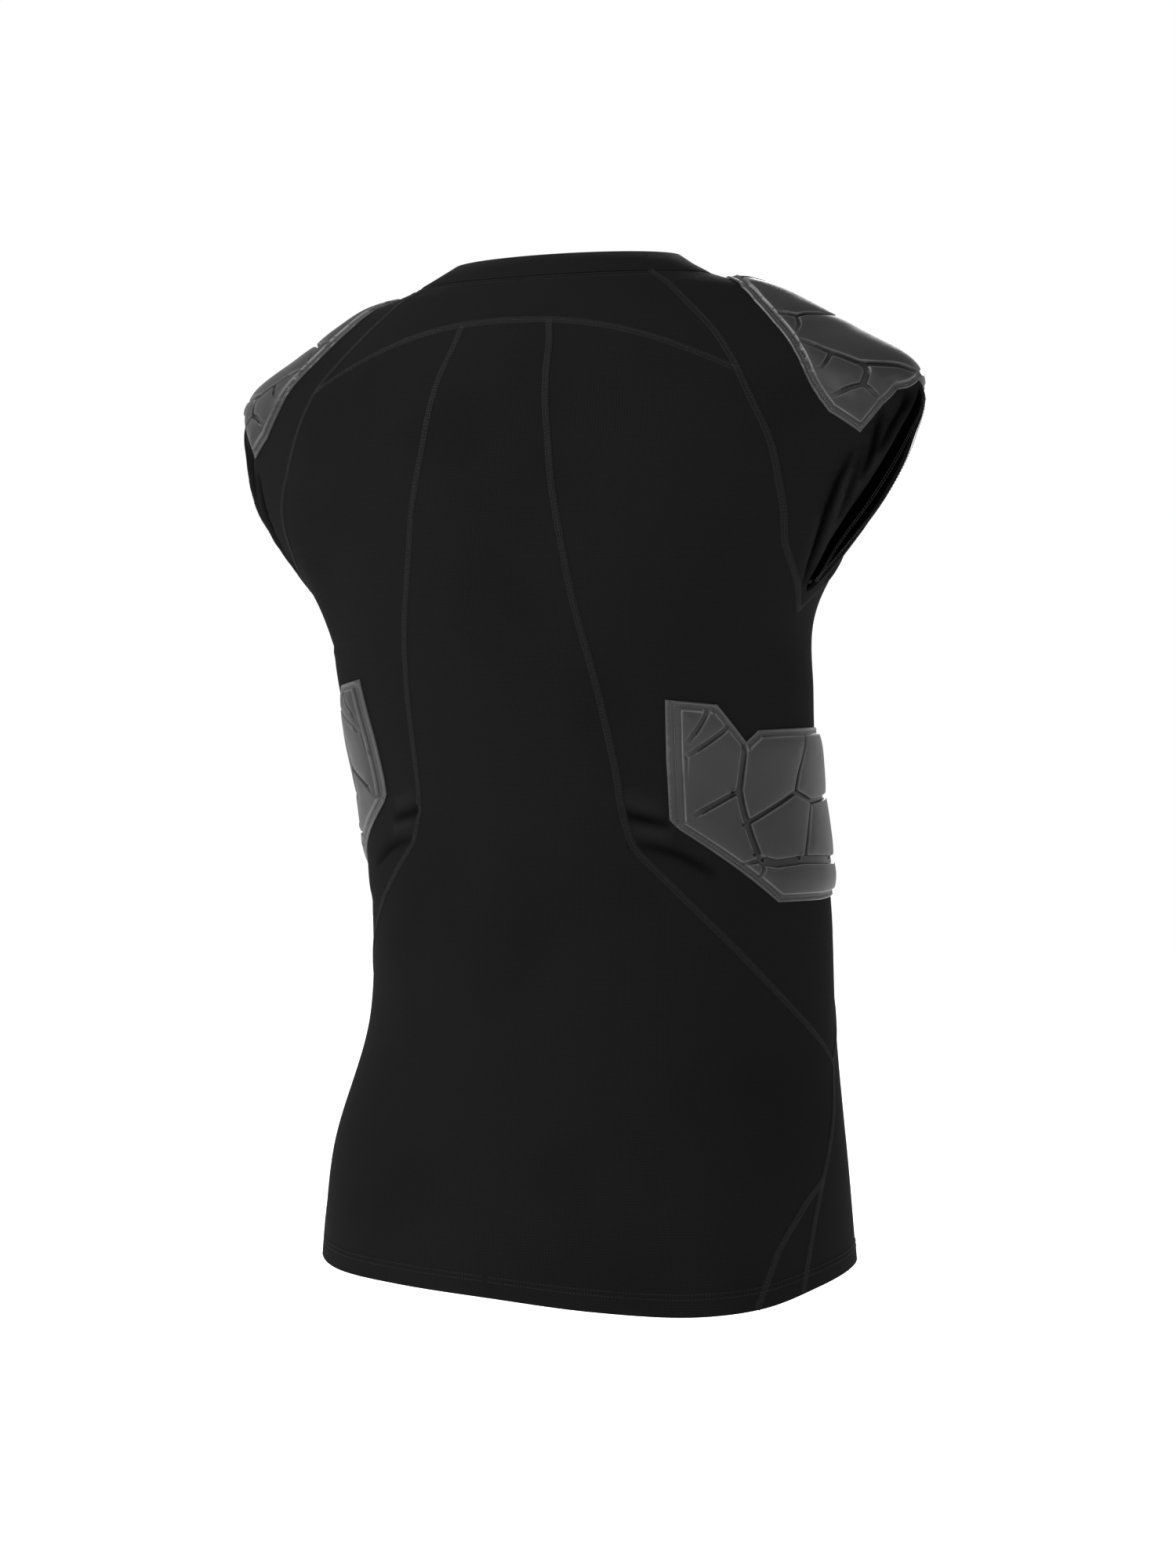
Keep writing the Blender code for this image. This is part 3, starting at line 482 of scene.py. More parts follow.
def thinned(points, apart):
    """Which points to keep, in order, so that none lies too near one that is kept before it."""
    cells = {}
    kept = []
    for k, (x, y) in enumerate(points.tolist()):
        column, row = int(x // apart), int(y // apart)
        near = [spot for i in (-1, 0, 1) for j in (-1, 0, 1)
                for spot in cells.get((column + i, row + j), ())]
        if all((a - x) ** 2 + (b - y) ** 2 >= apart**2 for a, b in near):
            cells.setdefault((column, row), []).append((x, y))
            kept.append(k)
    return np.array(kept, int)


def on_lines(lines, rings):
    """Points of the plane on lines, clear of the rings and each other, and the links along them."""
    rows = [to_plane(line) for line in lines]
    points = np.concatenate(rows)
    number = np.concatenate([np.arange(len(row)) + LINE_NUMBERS * k for k, row in enumerate(rows)])
    clear = clear_within(points, rings)
    points, number = points[clear], number[clear]
    fixed = np.concatenate(rings)
    kept = thinned(np.concatenate([fixed, points]), LINE_APART)
    kept = kept[kept >= len(fixed)] - len(fixed)
    first = np.flatnonzero(np.diff(number[kept]) <= 2)
    return points[kept], np.stack([first, first + 1], axis=1)


def cut(outline, holes=(), lines=None, spacing=POINT_SPACING, fine=FINE_SPACING):
    """Triangles over the places inside an outline and outside its holes.

    Lines are rows of places that triangles don't cross. Returns the places, the triangles and, for
    each ring that was given, its places' numbers.
    """
    rings = [to_plane(ring) for ring in (outline, *holes)]
    fixed = np.concatenate(rings)
    starts = np.cumsum([0] + [len(ring) for ring in rings])
    edges = []
    for start, ring in zip(starts, rings):
        edges += [(start + k, start + (k + 1) % len(ring)) for k in range(len(ring))]
    wide = lattice(rings[0], spacing)
    close = lattice(rings[0], fine)
    free = np.concatenate([wide[~creased(wide)], close[creased(close)]])
    if lines is not None:
        lined, links = on_lines(lines, rings)
        edges += (links + len(fixed)).tolist()
        fixed = np.concatenate([fixed, lined])
        kept = thinned(np.concatenate([fixed, free]), LINE_CLEAR * fine)
        free = free[kept[kept >= len(fixed)] - len(fixed)]
    points = np.concatenate([fixed, free[clear_within(free, rings)]])
    result = delaunay_2d_cdt([Vector(p) for p in points], edges, [], 0, 1e-5)
    flat = np.array([tuple(v) for v in result[0]])
    faces = np.array([tuple(face) for face in result[2]])
    number = {source: k for k, sources in enumerate(result[3]) for source in sources}
    numbers = [[number[start + k] for k in range(len(ring))] for start, ring in zip(starts, rings)]
    return from_plane(flat), flood(flat, faces, numbers, rings), numbers


# Lines of places


def places_at(turns, heights):
    """Places from their turns and heights, one of which may be a single number."""
    return np.stack(np.broadcast_arrays(turns, heights), axis=-1)


def seam(table, low, high, step=SEAM_STEP):
    """Places along a seam given by height, from its low end to its high end."""
    count = max(2, round(abs(high - low) / step) + 1)
    heights = np.linspace(low, high, count)
    return places_at(curve_through(table, heights), heights)


def turns_between(start, end):
    return np.linspace(start, end, round(abs(end - start) * DEGREE_SIZE / SEAM_STEP) + 1)


def yoke_line(start, end):
    turns = turns_between(start, end)
    return places_at(turns, curve_through(YOKE, np.abs(turns)))


def level_line(start, end, height):
    return places_at(turns_between(start, end), height)


def joined(*lines):
    """One closed loop from lines that follow each other, with shared ends kept once."""
    places = []
    for line in lines:
        for place in line:
            if not places or np.abs(place - places[-1]).max() > SAME_PLACE:
                places.append(np.array(place, float))
    if np.abs(places[0] - places[-1]).max() < SAME_PLACE:
        places.pop()
    return np.array(places)


def mirrored(line, about=0.0):
    """The same line on the other side of a turn."""
    line = np.array(line, float)
    line[:, 0] = 2 * about - line[:, 0]
    return line


def even(line, step, closed=False):
    """The line resampled at even steps along the cloth, in millimetres."""
    line = np.asarray(line, float)
    if closed:
        line = np.concatenate([line, line[:1]])
    points = tube(line[:, :2])
    length = np.concatenate([[0], np.cumsum(np.linalg.norm(np.diff(points, axis=0), axis=1))])
    count = max(2, round(length[-1] / step) + 1)
    marks = np.linspace(0, length[-1], count)
    if closed:
        marks = marks[:-1]
    return np.stack([np.interp(marks, length, column) for column in line.T], axis=1)


def fine_loop(places, step):
    """A closed loop with points added so that no side is longer than a step."""
    result = []
    for a, b in pairs(places):
        length = np.linalg.norm(to_plane(b) - to_plane(a))
        pieces = max(1, math.ceil(length / step))
        result += [a + (b - a) * k / pieces for k in range(pieces)]
    return np.array(result)


SEAMS = {
    "back_princess": seam(BACK_PRINCESS, HIP, curve_through(YOKE, [PRINCESS_TOP])[0]),
    "front_princess": seam(FRONT_PRINCESS, HIP, FRONT_CORNER),
    "back_raglan_low": seam(BACK_RAGLAN, ARMPIT, YOKE_CORNER[1]),
    "back_raglan_high": seam(BACK_RAGLAN, YOKE_CORNER[1], NECK_SEAM),
    "front_raglan_low": seam(FRONT_RAGLAN, ARMPIT, FRONT_CORNER),
    "front_raglan_high": seam(FRONT_RAGLAN, FRONT_CORNER, NECK_SEAM),
    "side": seam(SIDE_SEAM, GUSSET_TOP, HIP),
    "gusset_back": seam(GUSSET_BACK, HEM, GUSSET_TOP),
    "gusset_front": seam(GUSSET_FRONT, HEM, GUSSET_TOP),
    "yoke_side": yoke_line(PRINCESS_TOP, YOKE_CORNER[0]),
    "yoke_middle": yoke_line(-PRINCESS_TOP, PRINCESS_TOP),
}
SEAMS["back_princess"][-1] = SEAMS["yoke_side"][0]
SEAMS["back_raglan_low"][-1] = SEAMS["yoke_side"][-1]
SEAMS["back_raglan_high"][0] = SEAMS["yoke_side"][-1]
RAGLAN_BACK_TURN = SEAMS["back_raglan_high"][-1][0]
RAGLAN_FRONT_TURN = SEAMS["front_raglan_high"][-1][0]


def armhole(steps=90):
    """The loop of the arm's opening, on the wearer's right."""
    angles = np.linspace(0, 2 * math.pi, steps, endpoint=False)
    share = (1 - np.cos(angles)) / 2
    heights = ARMHOLE_LOW[1] + share * (ARMHOLE_HIGH[1] - ARMHOLE_LOW[1])
    middle = ARMHOLE_LOW[0] + share * (ARMHOLE_HIGH[0] - ARMHOLE_LOW[0])
    width = np.where(np.sin(angles) > 0, ARMHOLE_BACK, ARMHOLE_FRONT)
    return places_at(middle - width * np.sin(angles), heights)


def whole_edge(half_edge):
    """A pad's closed edge from its back half and the mirrored front half."""
    half = np.array(half_edge, float)
    return joined(half, mirrored(half[::-1], about=90))


def both_halves(grooves):
    """Grooves of the back half and the same ones mirrored to the front."""
    lines = [(half, np.array(line, float)) for half, line in grooves]
    return lines + [(half, mirrored(line, about=90)) for half, line in lines]


# Meshes


SHARP_ANGLE = 50.0          # degrees between faces from which their edge shows


def wall(top, bottom, faces):
    """Closed wall between two point sets that share their triangles."""
    count = len(top)
    rows = faces.tolist()
    used = {edge for face in rows for edge in pairs(face)}
    rims = [(a, b) for a, b in used if (b, a) not in used]
    polygons = [tuple(face) for face in rows]
    polygons += [(c + count, b + count, a + count) for a, b, c in rows]
    polygons += [(b, a, a + count, b + count) for a, b in sorted(rims)]
    return np.concatenate([top, bottom]), polygons


def make_piece(name, points, polygons, material, slot, places=None, marks=None):
    """A shown piece that rides with the shirt, shaded smooth, with its cloth places kept.

    Marks are named values for its points, which the materials read.
    """
    mesh = bpy.data.meshes.new(name)
    mesh.from_pydata(np.asarray(points, float).tolist(), [], [list(map(int, p)) for p in polygons])
    mesh.validate()
    mesh.shade_smooth()
    mesh.set_sharp_from_angle(angle=math.radians(SHARP_ANGLE))
    mesh.materials.append(material)
    if places is not None:
        spots = np.zeros((len(places), 3))
        spots[:, :2] = places * (DEGREE_SIZE * MM, KNIT_RISE * MM)
        layer = mesh.attributes.new("cloth_place", "FLOAT_VECTOR", "POINT")
        layer.data.foreach_set("vector", spots.ravel())
    for mark, values in (marks or {}).items():
        layer = mesh.attributes.new(mark, "FLOAT", "POINT")
        layer.data.foreach_set("value", np.asarray(values, float))
    piece = bpy.data.objects.new(name, mesh)
    bpy.context.scene.collection.objects.link(piece)
    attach(piece, BODY)
    return piece


def drop_loose(points, polygons, *extras):
    """The same body without the points that no polygon uses."""
    used = np.unique(np.concatenate([np.asarray(p) for p in polygons]))
    number = np.full(len(points), -1)
    number[used] = np.arange(len(used))
    return (points[used], [[number[k] for k in p] for p in polygons], *[e[used] for e in extras])


# Materials


def shader_nodes(name):
    material = bpy.data.materials.new(name)
    material.use_nodes = True
    tree = material.node_tree
    return material, tree, tree.nodes["Principled BSDF"]


def feed(tree, socket, value):
    """Links a socket to another's output, or sets its own value."""
    if isinstance(value, bpy.types.NodeSocket):
        tree.links.new(value, socket)
    else:
        socket.default_value = value


def feed_all(tree, node, values):
    for name, value in values.items():
        feed(tree, node.inputs[name], value)


def maths(tree, operation, *values):
    """A Math node of the tree, fed by sockets or numbers. Returns its output."""
    node = tree.nodes.new("ShaderNodeMath")
    node.operation = operation
    for socket, value in zip(node.inputs, values):
        feed(tree, socket, value)
    return node.outputs[0]


def blend_colours(tree, share, dark, light):
    node = tree.nodes.new("ShaderNodeMix")
    node.data_type = "RGBA"
    feed(tree, node.inputs["Factor"], share)
    for name, value in (("A", dark), ("B", light)):
        feed(tree, [i for i in node.inputs if i.name == name and i.type == "RGBA"][0], value)
    return [o for o in node.outputs if o.type == "RGBA"][0]


def noise(tree, vector, scale, detail=2.0):
    node = tree.nodes.new("ShaderNodeTexNoise")
    feed_all(tree, node, {"Scale": scale, "Detail": detail, "Vector": vector})
    return node.outputs["Fac"]


def attribute(tree, name, output):
    node = tree.nodes.new("ShaderNodeAttribute")
    node.attribute_name = name
    return node.outputs[output]


def object_place(tree):
    return tree.nodes.new("ShaderNodeTexCoord").outputs["Object"]


def bump(tree, height, distance, strength, under=None):
    """The surface's normal over small heights, which may lie on another bump's normal."""
    node = tree.nodes.new("ShaderNodeBump")
    feed_all(tree, node, {"Distance": distance, "Strength": strength, "Height": height})
    if under is not None:
        feed(tree, node.inputs["Normal"], under)
    return node.outputs["Normal"]


def from_middle(tree, value, pitch, shift=0.0):
    """How far a length is from the middle of its repeat, from 0 to 0.5."""
    steps = maths(tree, "ADD", maths(tree, "DIVIDE", value, pitch), shift)
    return maths(tree, "ABSOLUTE", maths(tree, "SUBTRACT", maths(tree, "FRACT", steps), 0.5))


MESH_PITCH = 0.0016         # between the knit's small openings, in metres
MESH_HOLE = 0.3             # an opening's half width, as a share of the pitch
KNIT_RISE = 1.05            # millimetres of knit in a millimetre of height
FOLD_DARK = 3.2             # how deep a fold is where the painted shade in its trough, and the painted highlight on its ridge, are strongest
KNIT_DARK = (0.0012, 0.0012, 0.0013, 1)
KNIT_PALE = (0.0056, 0.0056, 0.0057, 1)
# Painted shade in the folds' troughs and painted highlight on their ridges
FOLD_SHADE_COLOUR = (0.0006, 0.0006, 0.0006, 1)
FOLD_HIGHLIGHT_COLOUR = (0.0105, 0.0105, 0.0107, 1)
FILM_DARK = (0.0072, 0.0072, 0.0075, 1)
FILM_PALE = (0.012, 0.012, 0.0123, 1)
# Painted highlight on the pad's edges and brims, also used for the flange's paler tone
EDGE_HIGHLIGHT_COLOUR = (0.075, 0.075, 0.077, 1)
# Painted shade in the pad's grooves, stitch channel and holes
CREASE_SHADE_COLOUR = (0.003, 0.003, 0.0032, 1)


def knit_material():
    """Black stretch knit with rows of small openings, slightly uneven in colour.

    Its folds get painted shade in their troughs and a painted highlight on their ridges.
    """
    material, tree, shader = shader_nodes("knit")
    spot = tree.nodes.new("ShaderNodeSeparateXYZ")
    tree.links.new(attribute(tree, "cloth_place", "Vector"), spot.inputs[0])
    across = from_middle(tree, spot.outputs[0], MESH_PITCH)
    along = from_middle(tree, spot.outputs[1], MESH_PITCH)
    away = maths(tree, "SQRT", maths(tree, "ADD", maths(tree, "POWER", across, 2),
                                     maths(tree, "POWER", along, 2)))
    yarn = maths(tree, "MINIMUM", maths(tree, "DIVIDE", away, MESH_HOLE), 1.0)
    ribs = from_middle(tree, spot.outputs[0], MESH_PITCH / 2, 0.25)
    place = object_place(tree)
    tone = maths(tree, "MULTIPLY", maths(tree, "ADD", noise(tree, place, 9), 0.5), yarn)
    colour = blend_colours(tree, tone, KNIT_DARK, KNIT_PALE)
    # painted shade in the folds' troughs and painted highlight on their ridges
    colour = blend_colours(tree, attribute(tree, "fold_shade", "Fac"), colour, FOLD_SHADE_COLOUR)
    colour = blend_colours(tree, attribute(tree, "fold_highlight", "Fac"), colour, FOLD_HIGHLIGHT_COLOUR)
    surface = maths(tree, "ADD", yarn, maths(tree, "MULTIPLY", ribs, 0.6))
    normal = bump(tree, surface, 0.00012, 0.7)
    normal = bump(tree, noise(tree, place, 26, 1.0), 0.0016, 0.35, normal)
    feed_all(tree, shader, {"Base Color": colour, "Normal": normal, "Roughness": 0.8,
                            "Specular IOR Level": 0.01, "Sheen Weight": 0.002,
                            "Sheen Roughness": 0.45})
    return material


def pad_material():
    """Dark grey moulded film with a soft gloss, with painted shade in its grooves, stitch channel
    and holes and a painted highlight on its edges and brims.
    """
    material, tree, shader = shader_nodes("pad_film")
    place = object_place(tree)
    patch = noise(tree, place, 22, 3.0)
    film = blend_colours(tree, patch, FILM_DARK, FILM_PALE)
    # painted highlight on edges and brims, broken up by noise, with the flange's paler tone
    highlight_share = maths(tree, "MULTIPLY", attribute(tree, "rim", "Fac"), noise(tree, place, 40))
    highlight_share = maths(tree, "MINIMUM", maths(tree, "MULTIPLY", highlight_share, 1.6), 1.0)
    film = blend_colours(tree, highlight_share, film, EDGE_HIGHLIGHT_COLOUR)
    # painted shade in the grooves, stitch channel and holes
    colour = blend_colours(tree, attribute(tree, "crease_shade", "Fac"), film, CREASE_SHADE_COLOUR)
    rough = maths(tree, "ADD", maths(tree, "MULTIPLY", noise(tree, place, 60, 3.0), 0.14), 0.38)
    normal = bump(tree, noise(tree, place, 2600), 0.00005, 0.14)
    normal = bump(tree, noise(tree, place, 75), 0.0006, 0.25, normal)
    feed_all(tree, shader, {"Base Color": colour, "Roughness": rough, "Normal": normal,
                            "Specular IOR Level": 0.24})
    return material


def thread_material(name, dark, light):
    """Twisted thread, with its colour varied from stitch to stitch."""
    material, tree, shader = shader_nodes(name)
    place = object_place(tree)
    colour = blend_colours(tree, noise(tree, place, 420), dark, light)
    normal = bump(tree, noise(tree, place, 5200), 0.00008, 0.6)
    feed_all(tree, shader, {"Base Color": colour, "Normal": normal, "Roughness": 0.7,
                            "Specular IOR Level": 0.2})
    return material


KNIT = knit_material()
PAD = pad_material()
SEAM_THREAD = thread_material("seam_thread", (0.0045, 0.0045, 0.0047, 1), (0.012, 0.012, 0.0124, 1))
PAD_THREAD = thread_material("pad_thread", (0.05, 0.05, 0.051, 1), (0.14, 0.14, 0.142, 1))


# Cloth panels


HEM_FOLD = 13.0             # the hem is turned up inside so far
SLEEVE_FOLD = 11.0
FOLD_STEP = 1.0             # how wide the step at a turned hem's top is
HEM_PROUD = 0.35            # how far the turned hem pushes the outside out
HEM_DEEP = 0.9              # and the inside in
RIM_LINE = 0.8              # from the cloth's edge to the first points on it
BAND_LOW = NECK_SEAM + SEAM_GAP / 3
# The neckband's section, as (height, how far outside the tube)
BAND_PROFILE = ((BAND_LOW, 0.3), (BAND_LOW + 0.8, 0.8), (666, 0.9), (BAND_TOP - 0.8, 0.7),
                (BAND_TOP, -0.8), (BAND_TOP - 0.8, -2.0), (666, -1.9), (BAND_LOW + 0.8, -1.9),
                (BAND_LOW, -1.3))


def fold_share(distance, width):
    """1 on a turned hem, 0 past it, from the distance to the cloth's edge."""
    return 1 - smooth((distance - width) / FOLD_STEP)


def add_cloth(node, outline, holes=(), lines=None, doubled=None):
    """A panel between its seams that stands for its solid in the frame."""
    places, faces, _ = cut(inset(outline, SEAM_GAP / 2), holes, lines)
    fold = doubled(places) if doubled else np.zeros(len(places))
    outside = lifted(places, HEM_PROUD * fold)
    points, polygons = wall(outside, lifted(places, -CLOTH - HEM_DEEP * fold), faces)
    both = np.concatenate([places, places])
    points, polygons, both = drop_loose(points, polygons, both)
    # each fold's trough and ridge, for the knit's painted shade and painted highlight
    folds = fold_depths(both, NARROW) / FOLD_DARK
    marks = {"fold_shade": np.clip(-folds, 0, 1), "fold_highlight": np.clip(folds, 0, 1)}
    piece = make_piece(node + "_cloth", points, polygons, KNIT, "cloth", both, marks)
    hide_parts(node)
    return piece


def hem_lines(start, end):
    """Lines along the hem's rim and its turned part's top, past a panel's corners on both sides."""
    return [level_line(start, end, height) for height in (RIM_LINE, HEM_FOLD, HEM_FOLD + FOLD_STEP)]


def hem_fold(places):
    return fold_share(places[:, 1], HEM_FOLD)


def sleeve_lines(hole):
    """The same lines round the sleeve's opening."""
    return [inset(hole, -away) for away in (RIM_LINE, SLEEVE_FOLD, SLEEVE_FOLD + FOLD_STEP)]


def sleeve_fold(hole):
    """How doubled the sleeve's cloth is, from the distance to its opening."""
    rim = tube(hole)
    rim = np.concatenate([rim, rim[:1]])
    return lambda places: fold_share(nearest_share(tube(places), rim)[0], SLEEVE_FOLD)


def add_neckband():
    """The folded band round the neck."""
    turns = np.arange(0, 360, 1.0)
    places = [places_at(turns, height) for height, _ in BAND_PROFILE]
    points = [lifted(ring, row[1]) for ring, row in zip(places, BAND_PROFILE)]
    corner = np.arange(len(places) * len(turns)).reshape(len(places), -1)
    above = np.roll(corner, -1, axis=0)
    quads = np.stack([corner, np.roll(corner, -1, axis=1), np.roll(above, -1, axis=1), above], -1)
    piece = make_piece("neckband_cloth", np.concatenate(points), quads.reshape(-1, 4), KNIT,
                       "band", np.concatenate(places))
    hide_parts("neckband")
    return piece


def seam_lines(*names):
    """Seams that follow each other. A minus sign before a name turns its seam round."""
    return [SEAMS[name[1:]][::-1] if name[0] == "-" else SEAMS[name] for name in names]


def sleeve_outline():
    return joined(*seam_lines("-back_raglan_low", "front_raglan_low", "front_raglan_high"),
                  level_line(RAGLAN_FRONT_TURN, RAGLAN_BACK_TURN, NECK_SEAM),
                  *seam_lines("-back_raglan_high"))


def side_outline():
    return joined(*seam_lines("back_princess", "yoke_side", "-back_raglan_low", "front_raglan_low",
                              "-front_princess"))


def gusset_outline():
    return joined(*seam_lines("gusset_back", "-gusset_front"),
                  level_line(GUSSET_FRONT_TURN, GUSSET_BACK_TURN, HEM))


def yoke_outline():
    left = [mirrored(line) for line in seam_lines("-back_raglan_high", "-yoke_side")]
    return joined(*left, *seam_lines("yoke_middle", "yoke_side", "back_raglan_high"),
                  level_line(RAGLAN_BACK_TURN, -RAGLAN_BACK_TURN, NECK_SEAM))


def back_outline():
    half = joined(*seam_lines("gusset_back", "side", "back_princess"))
    return joined(half, *seam_lines("-yoke_middle"), mirrored(half[::-1]),
                  level_line(-GUSSET_BACK_TURN, GUSSET_BACK_TURN, HEM))


def front_outline():
    half = joined(*seam_lines("gusset_front", "side", "front_princess", "front_raglan_high"))
    return joined(half, level_line(RAGLAN_FRONT_TURN, 360 - RAGLAN_FRONT_TURN, NECK_SEAM),
                  mirrored(half[::-1], about=180),
                  level_line(360 - GUSSET_FRONT_TURN, GUSSET_FRONT_TURN, HEM))


# Pads


PAD_GAP = 0.2               # above the cloth that carries the pad
FLANGE = 1.3                # the thin sewn edge
EDGE_ROUND = 0.7            # how far in the flange has its whole thickness
FLANGE_LOW = 0.5            # its thickness at its very edge
FLANGE_PALE = 0.1           # how much paler it is than the cells
EDGE_HIGHLIGHT = 0.5             # how much of the painted highlight the pad's outer edge gets
STITCH_SHARE = 0.6          # where on the flange the stitches run, from its edge
CHANNEL = 0.4               # the depth of the channel they lie in
CHANNEL_HALF = 0.5
# how strong the painted shade in the stitch channel is
CHANNEL_SHADE = 0.8
CHANNEL_SIDE = 0.6          # from its middle to the points at its sides
PLATEAU = 1.7               # the moulded part's step up from the flange
BEVEL = 0.9                 # that step, seen from above
SWELL = 2.4                 # how much fuller the pad is away from its edges
SWELL_REACH = 9.0
CELL_CROWN = 0.8            # how much fuller a cell is away from its grooves
CELL_REACH = 5.0
GROOVE_WALL = 0.8           # the sloping side of a groove, seen from above
BRIM = 0.5                  # how far from a wall the film beside it is level again
BRIM_FADE = 0.3             # and how far the painted highlight along it reaches
GROOVE_SHARE = 0.6          # how much of the moulded height a groove takes away
# how strong the painted shade in a groove is
GROOVE_SHADE = 0.75
HOLE = 0.8                  # half the width of the small holes where grooves meet
HOLE_DEPTH = 1.4
HOLE_RING = 1.8             # the radius of the raised ring round a hole
RING_HEIGHT = 0.5
RING_HALF = 0.5
RING_UNSHADED = 0.8            # how much of the painted crease shade the raised ring round a hole is free of
RING_UNSHADED_HALF = 0.6
# The circles of points in and round a hole, as their radius and how many points they have
HOLE_CIRCLES = ((0.0, 1), (0.5, 6), (1.1, 9), (HOLE_RING, 12), (2.5, 12))
LINE_STEP = 3.0             # between the points that distances are measured from
SIDE_STEP = 1.4             # between points along a pad's sides
GROOVE_STEP = 1.3           # and along its grooves
SIDE_SLACK = 0.1            # how far inside a side's own line another side's may pass
GROOVE_SLACK = 0.12         # the same for grooves
GROOVE_CLEAR = 0.4          # from the moulded part's edge to the points of its grooves
PAD_STITCH_REACH = (0.1, 0.75)    # where in its pitch a stitch starts and ends


def pad_sides(edge):
    """A pad's sides: an even line, its points on the tube and the width of its flange."""
    sides = []
    for a, b in pairs(edge):
        line = even(np.array([a, b]), LINE_STEP)[:, :2]
        sides.append((line, tube(line), min(a[2], b[2])))
    return sides


def pad_grooves(grooves):
    """A pad's grooves: half the floor's width, an even line with depths, its points on the tube."""
    lines = [(half, even(line, LINE_STEP)) for half, line in grooves]
    return [(half, line, tube(line[:, :2])) for half, line in lines]


def pad_depths(points, sides):
    """For points: the distance to the pad's edge, the distance inside its moulded part, how far
    across the nearest side's flange they lie, as a share of it, and the width of that flange."""
    to_edge = np.full(len(points), np.inf)
    inner = np.full(len(points), np.inf)
    share = np.full(len(points), np.inf)
    flange_there = np.zeros(len(points))
    for _, spots, flange in sides:
        distance, _ = nearest_share(points, spots)
        to_edge = np.minimum(to_edge, distance)
        inner = np.minimum(inner, distance - flange)
        flange_there = np.where(distance / flange < share, flange, flange_there)
        share = np.minimum(share, distance / flange)
    return to_edge, inner, share, flange_there


def groove_reach(points, grooves):
    """Distance beyond each groove's floor, and how deep the groove is there, at points."""
    rows = []
    for half, line, spots in grooves:
        distance, along = nearest_share(points, spots)
        depth = np.interp(along, np.linspace(0, 1, len(line)), line[:, 2])
        rows.append((distance - half, depth))
    return rows


def brim(distance):
    """1 on the edge of a wall, fading beside it, from the distance past the wall's top."""
    return np.exp(-(distance / BRIM_FADE) ** 2)


def pad_relief(places, sides, grooves, holes):
    """How far the film stands above the cloth at places, and two marks there: the painted shade in
    its grooves, channel and holes, and the painted highlight on its edges and brims, which also
    carries the flange's paler tone.
    """
    points = tube(places)
    to_edge, inner, share, flange = pad_depths(points, sides)
    cut_away = np.zeros(len(points))
    apart = inner.copy()
    # painted highlight on the moulded part's brim and the pad's outer edge, and the flange's paler
    # tone
    rim = np.maximum(brim(inner - BEVEL), EDGE_HIGHLIGHT * brim(to_edge - EDGE_ROUND))
    rim = np.maximum(rim, FLANGE_PALE * (inner < 0))
    for reach, depth in groove_reach(points, grooves):
        away = np.clip(reach / GROOVE_WALL, 0, 1)
        cut_away = np.maximum(cut_away, depth * (1 - away))
        # painted highlight on each groove's brim, none on its floor
        rim = np.where(reach < 0, 0, np.maximum(rim, depth * brim(reach - GROOVE_WALL)))
        apart = np.minimum(apart, reach - GROOVE_WALL + 3 * CELL_REACH * (1 - depth))
    body = PLATEAU + SWELL * (1 - np.exp(-np.maximum(inner, 0) / SWELL_REACH))
    body += CELL_CROWN * (1 - np.exp(-np.maximum(apart, 0) / CELL_REACH))
    lift = FLANGE_LOW + (FLANGE - FLANGE_LOW) * np.sqrt(np.clip(to_edge / EDGE_ROUND, 0, 1))
    lift += np.clip(inner / BEVEL, 0, 1) * body * (1 - GROOVE_SHARE * cut_away)
    channel = np.exp(-((share - STITCH_SHARE) * flange / CHANNEL_HALF) ** 2)
    lift -= CHANNEL * channel
    # painted shade in the grooves and the stitch channel
    crease_shade = np.maximum(GROOVE_SHADE * cut_away, CHANNEL_SHADE * channel)
    for spot in tube(holes) if len(holes) else ():
        away = np.linalg.norm(points - spot, axis=1)
        pit = 1 - smooth(away / HOLE - 0.5)
        ring = np.exp(-((away - HOLE_RING) / RING_HALF) ** 2)
        lift += RING_HEIGHT * ring - HOLE_DEPTH * pit
        # painted shade in the hole, kept off its raised ring
        unshaded = RING_UNSHADED * np.exp(-((away - HOLE_RING) / RING_UNSHADED_HALF) ** 2)
        crease_shade = np.maximum(crease_shade, pit) * (1 - unshaded)
    return PAD_GAP + lift, crease_shade, rim * (1 - crease_shade)


def runs(lines, wanted):
    """The stretches of some lines that lie where they are wanted."""
    result = []
    for line, keep in zip(lines, np.split(wanted, np.cumsum([len(line) for line in lines])[:-1])):
        numbers = np.flatnonzero(keep)
        if len(numbers):
            result += np.split(line[numbers], np.flatnonzero(np.diff(numbers) > 1) + 1)
    return result


def side_lines(sides, inwards):
    """The lines along a pad's edge where its film bends."""
    lines = []
    wanted = []
    for line, _, flange in sides:
        fine = even(line, SIDE_STEP)
        stitch = STITCH_SHARE * flange
        for distance in (EDGE_ROUND, stitch - CHANNEL_SIDE, stitch, stitch + CHANNEL_SIDE, flange,
                         flange + BEVEL, flange + BEVEL + BRIM):
            lines.append(aside(fine, inwards * distance))
            wanted.append(np.full(len(fine), distance - flange))
    _, inner, _, _ = pad_depths(tube(np.concatenate(lines)), sides)
    return runs(lines, inner > np.concatenate(wanted) - SIDE_SLACK)


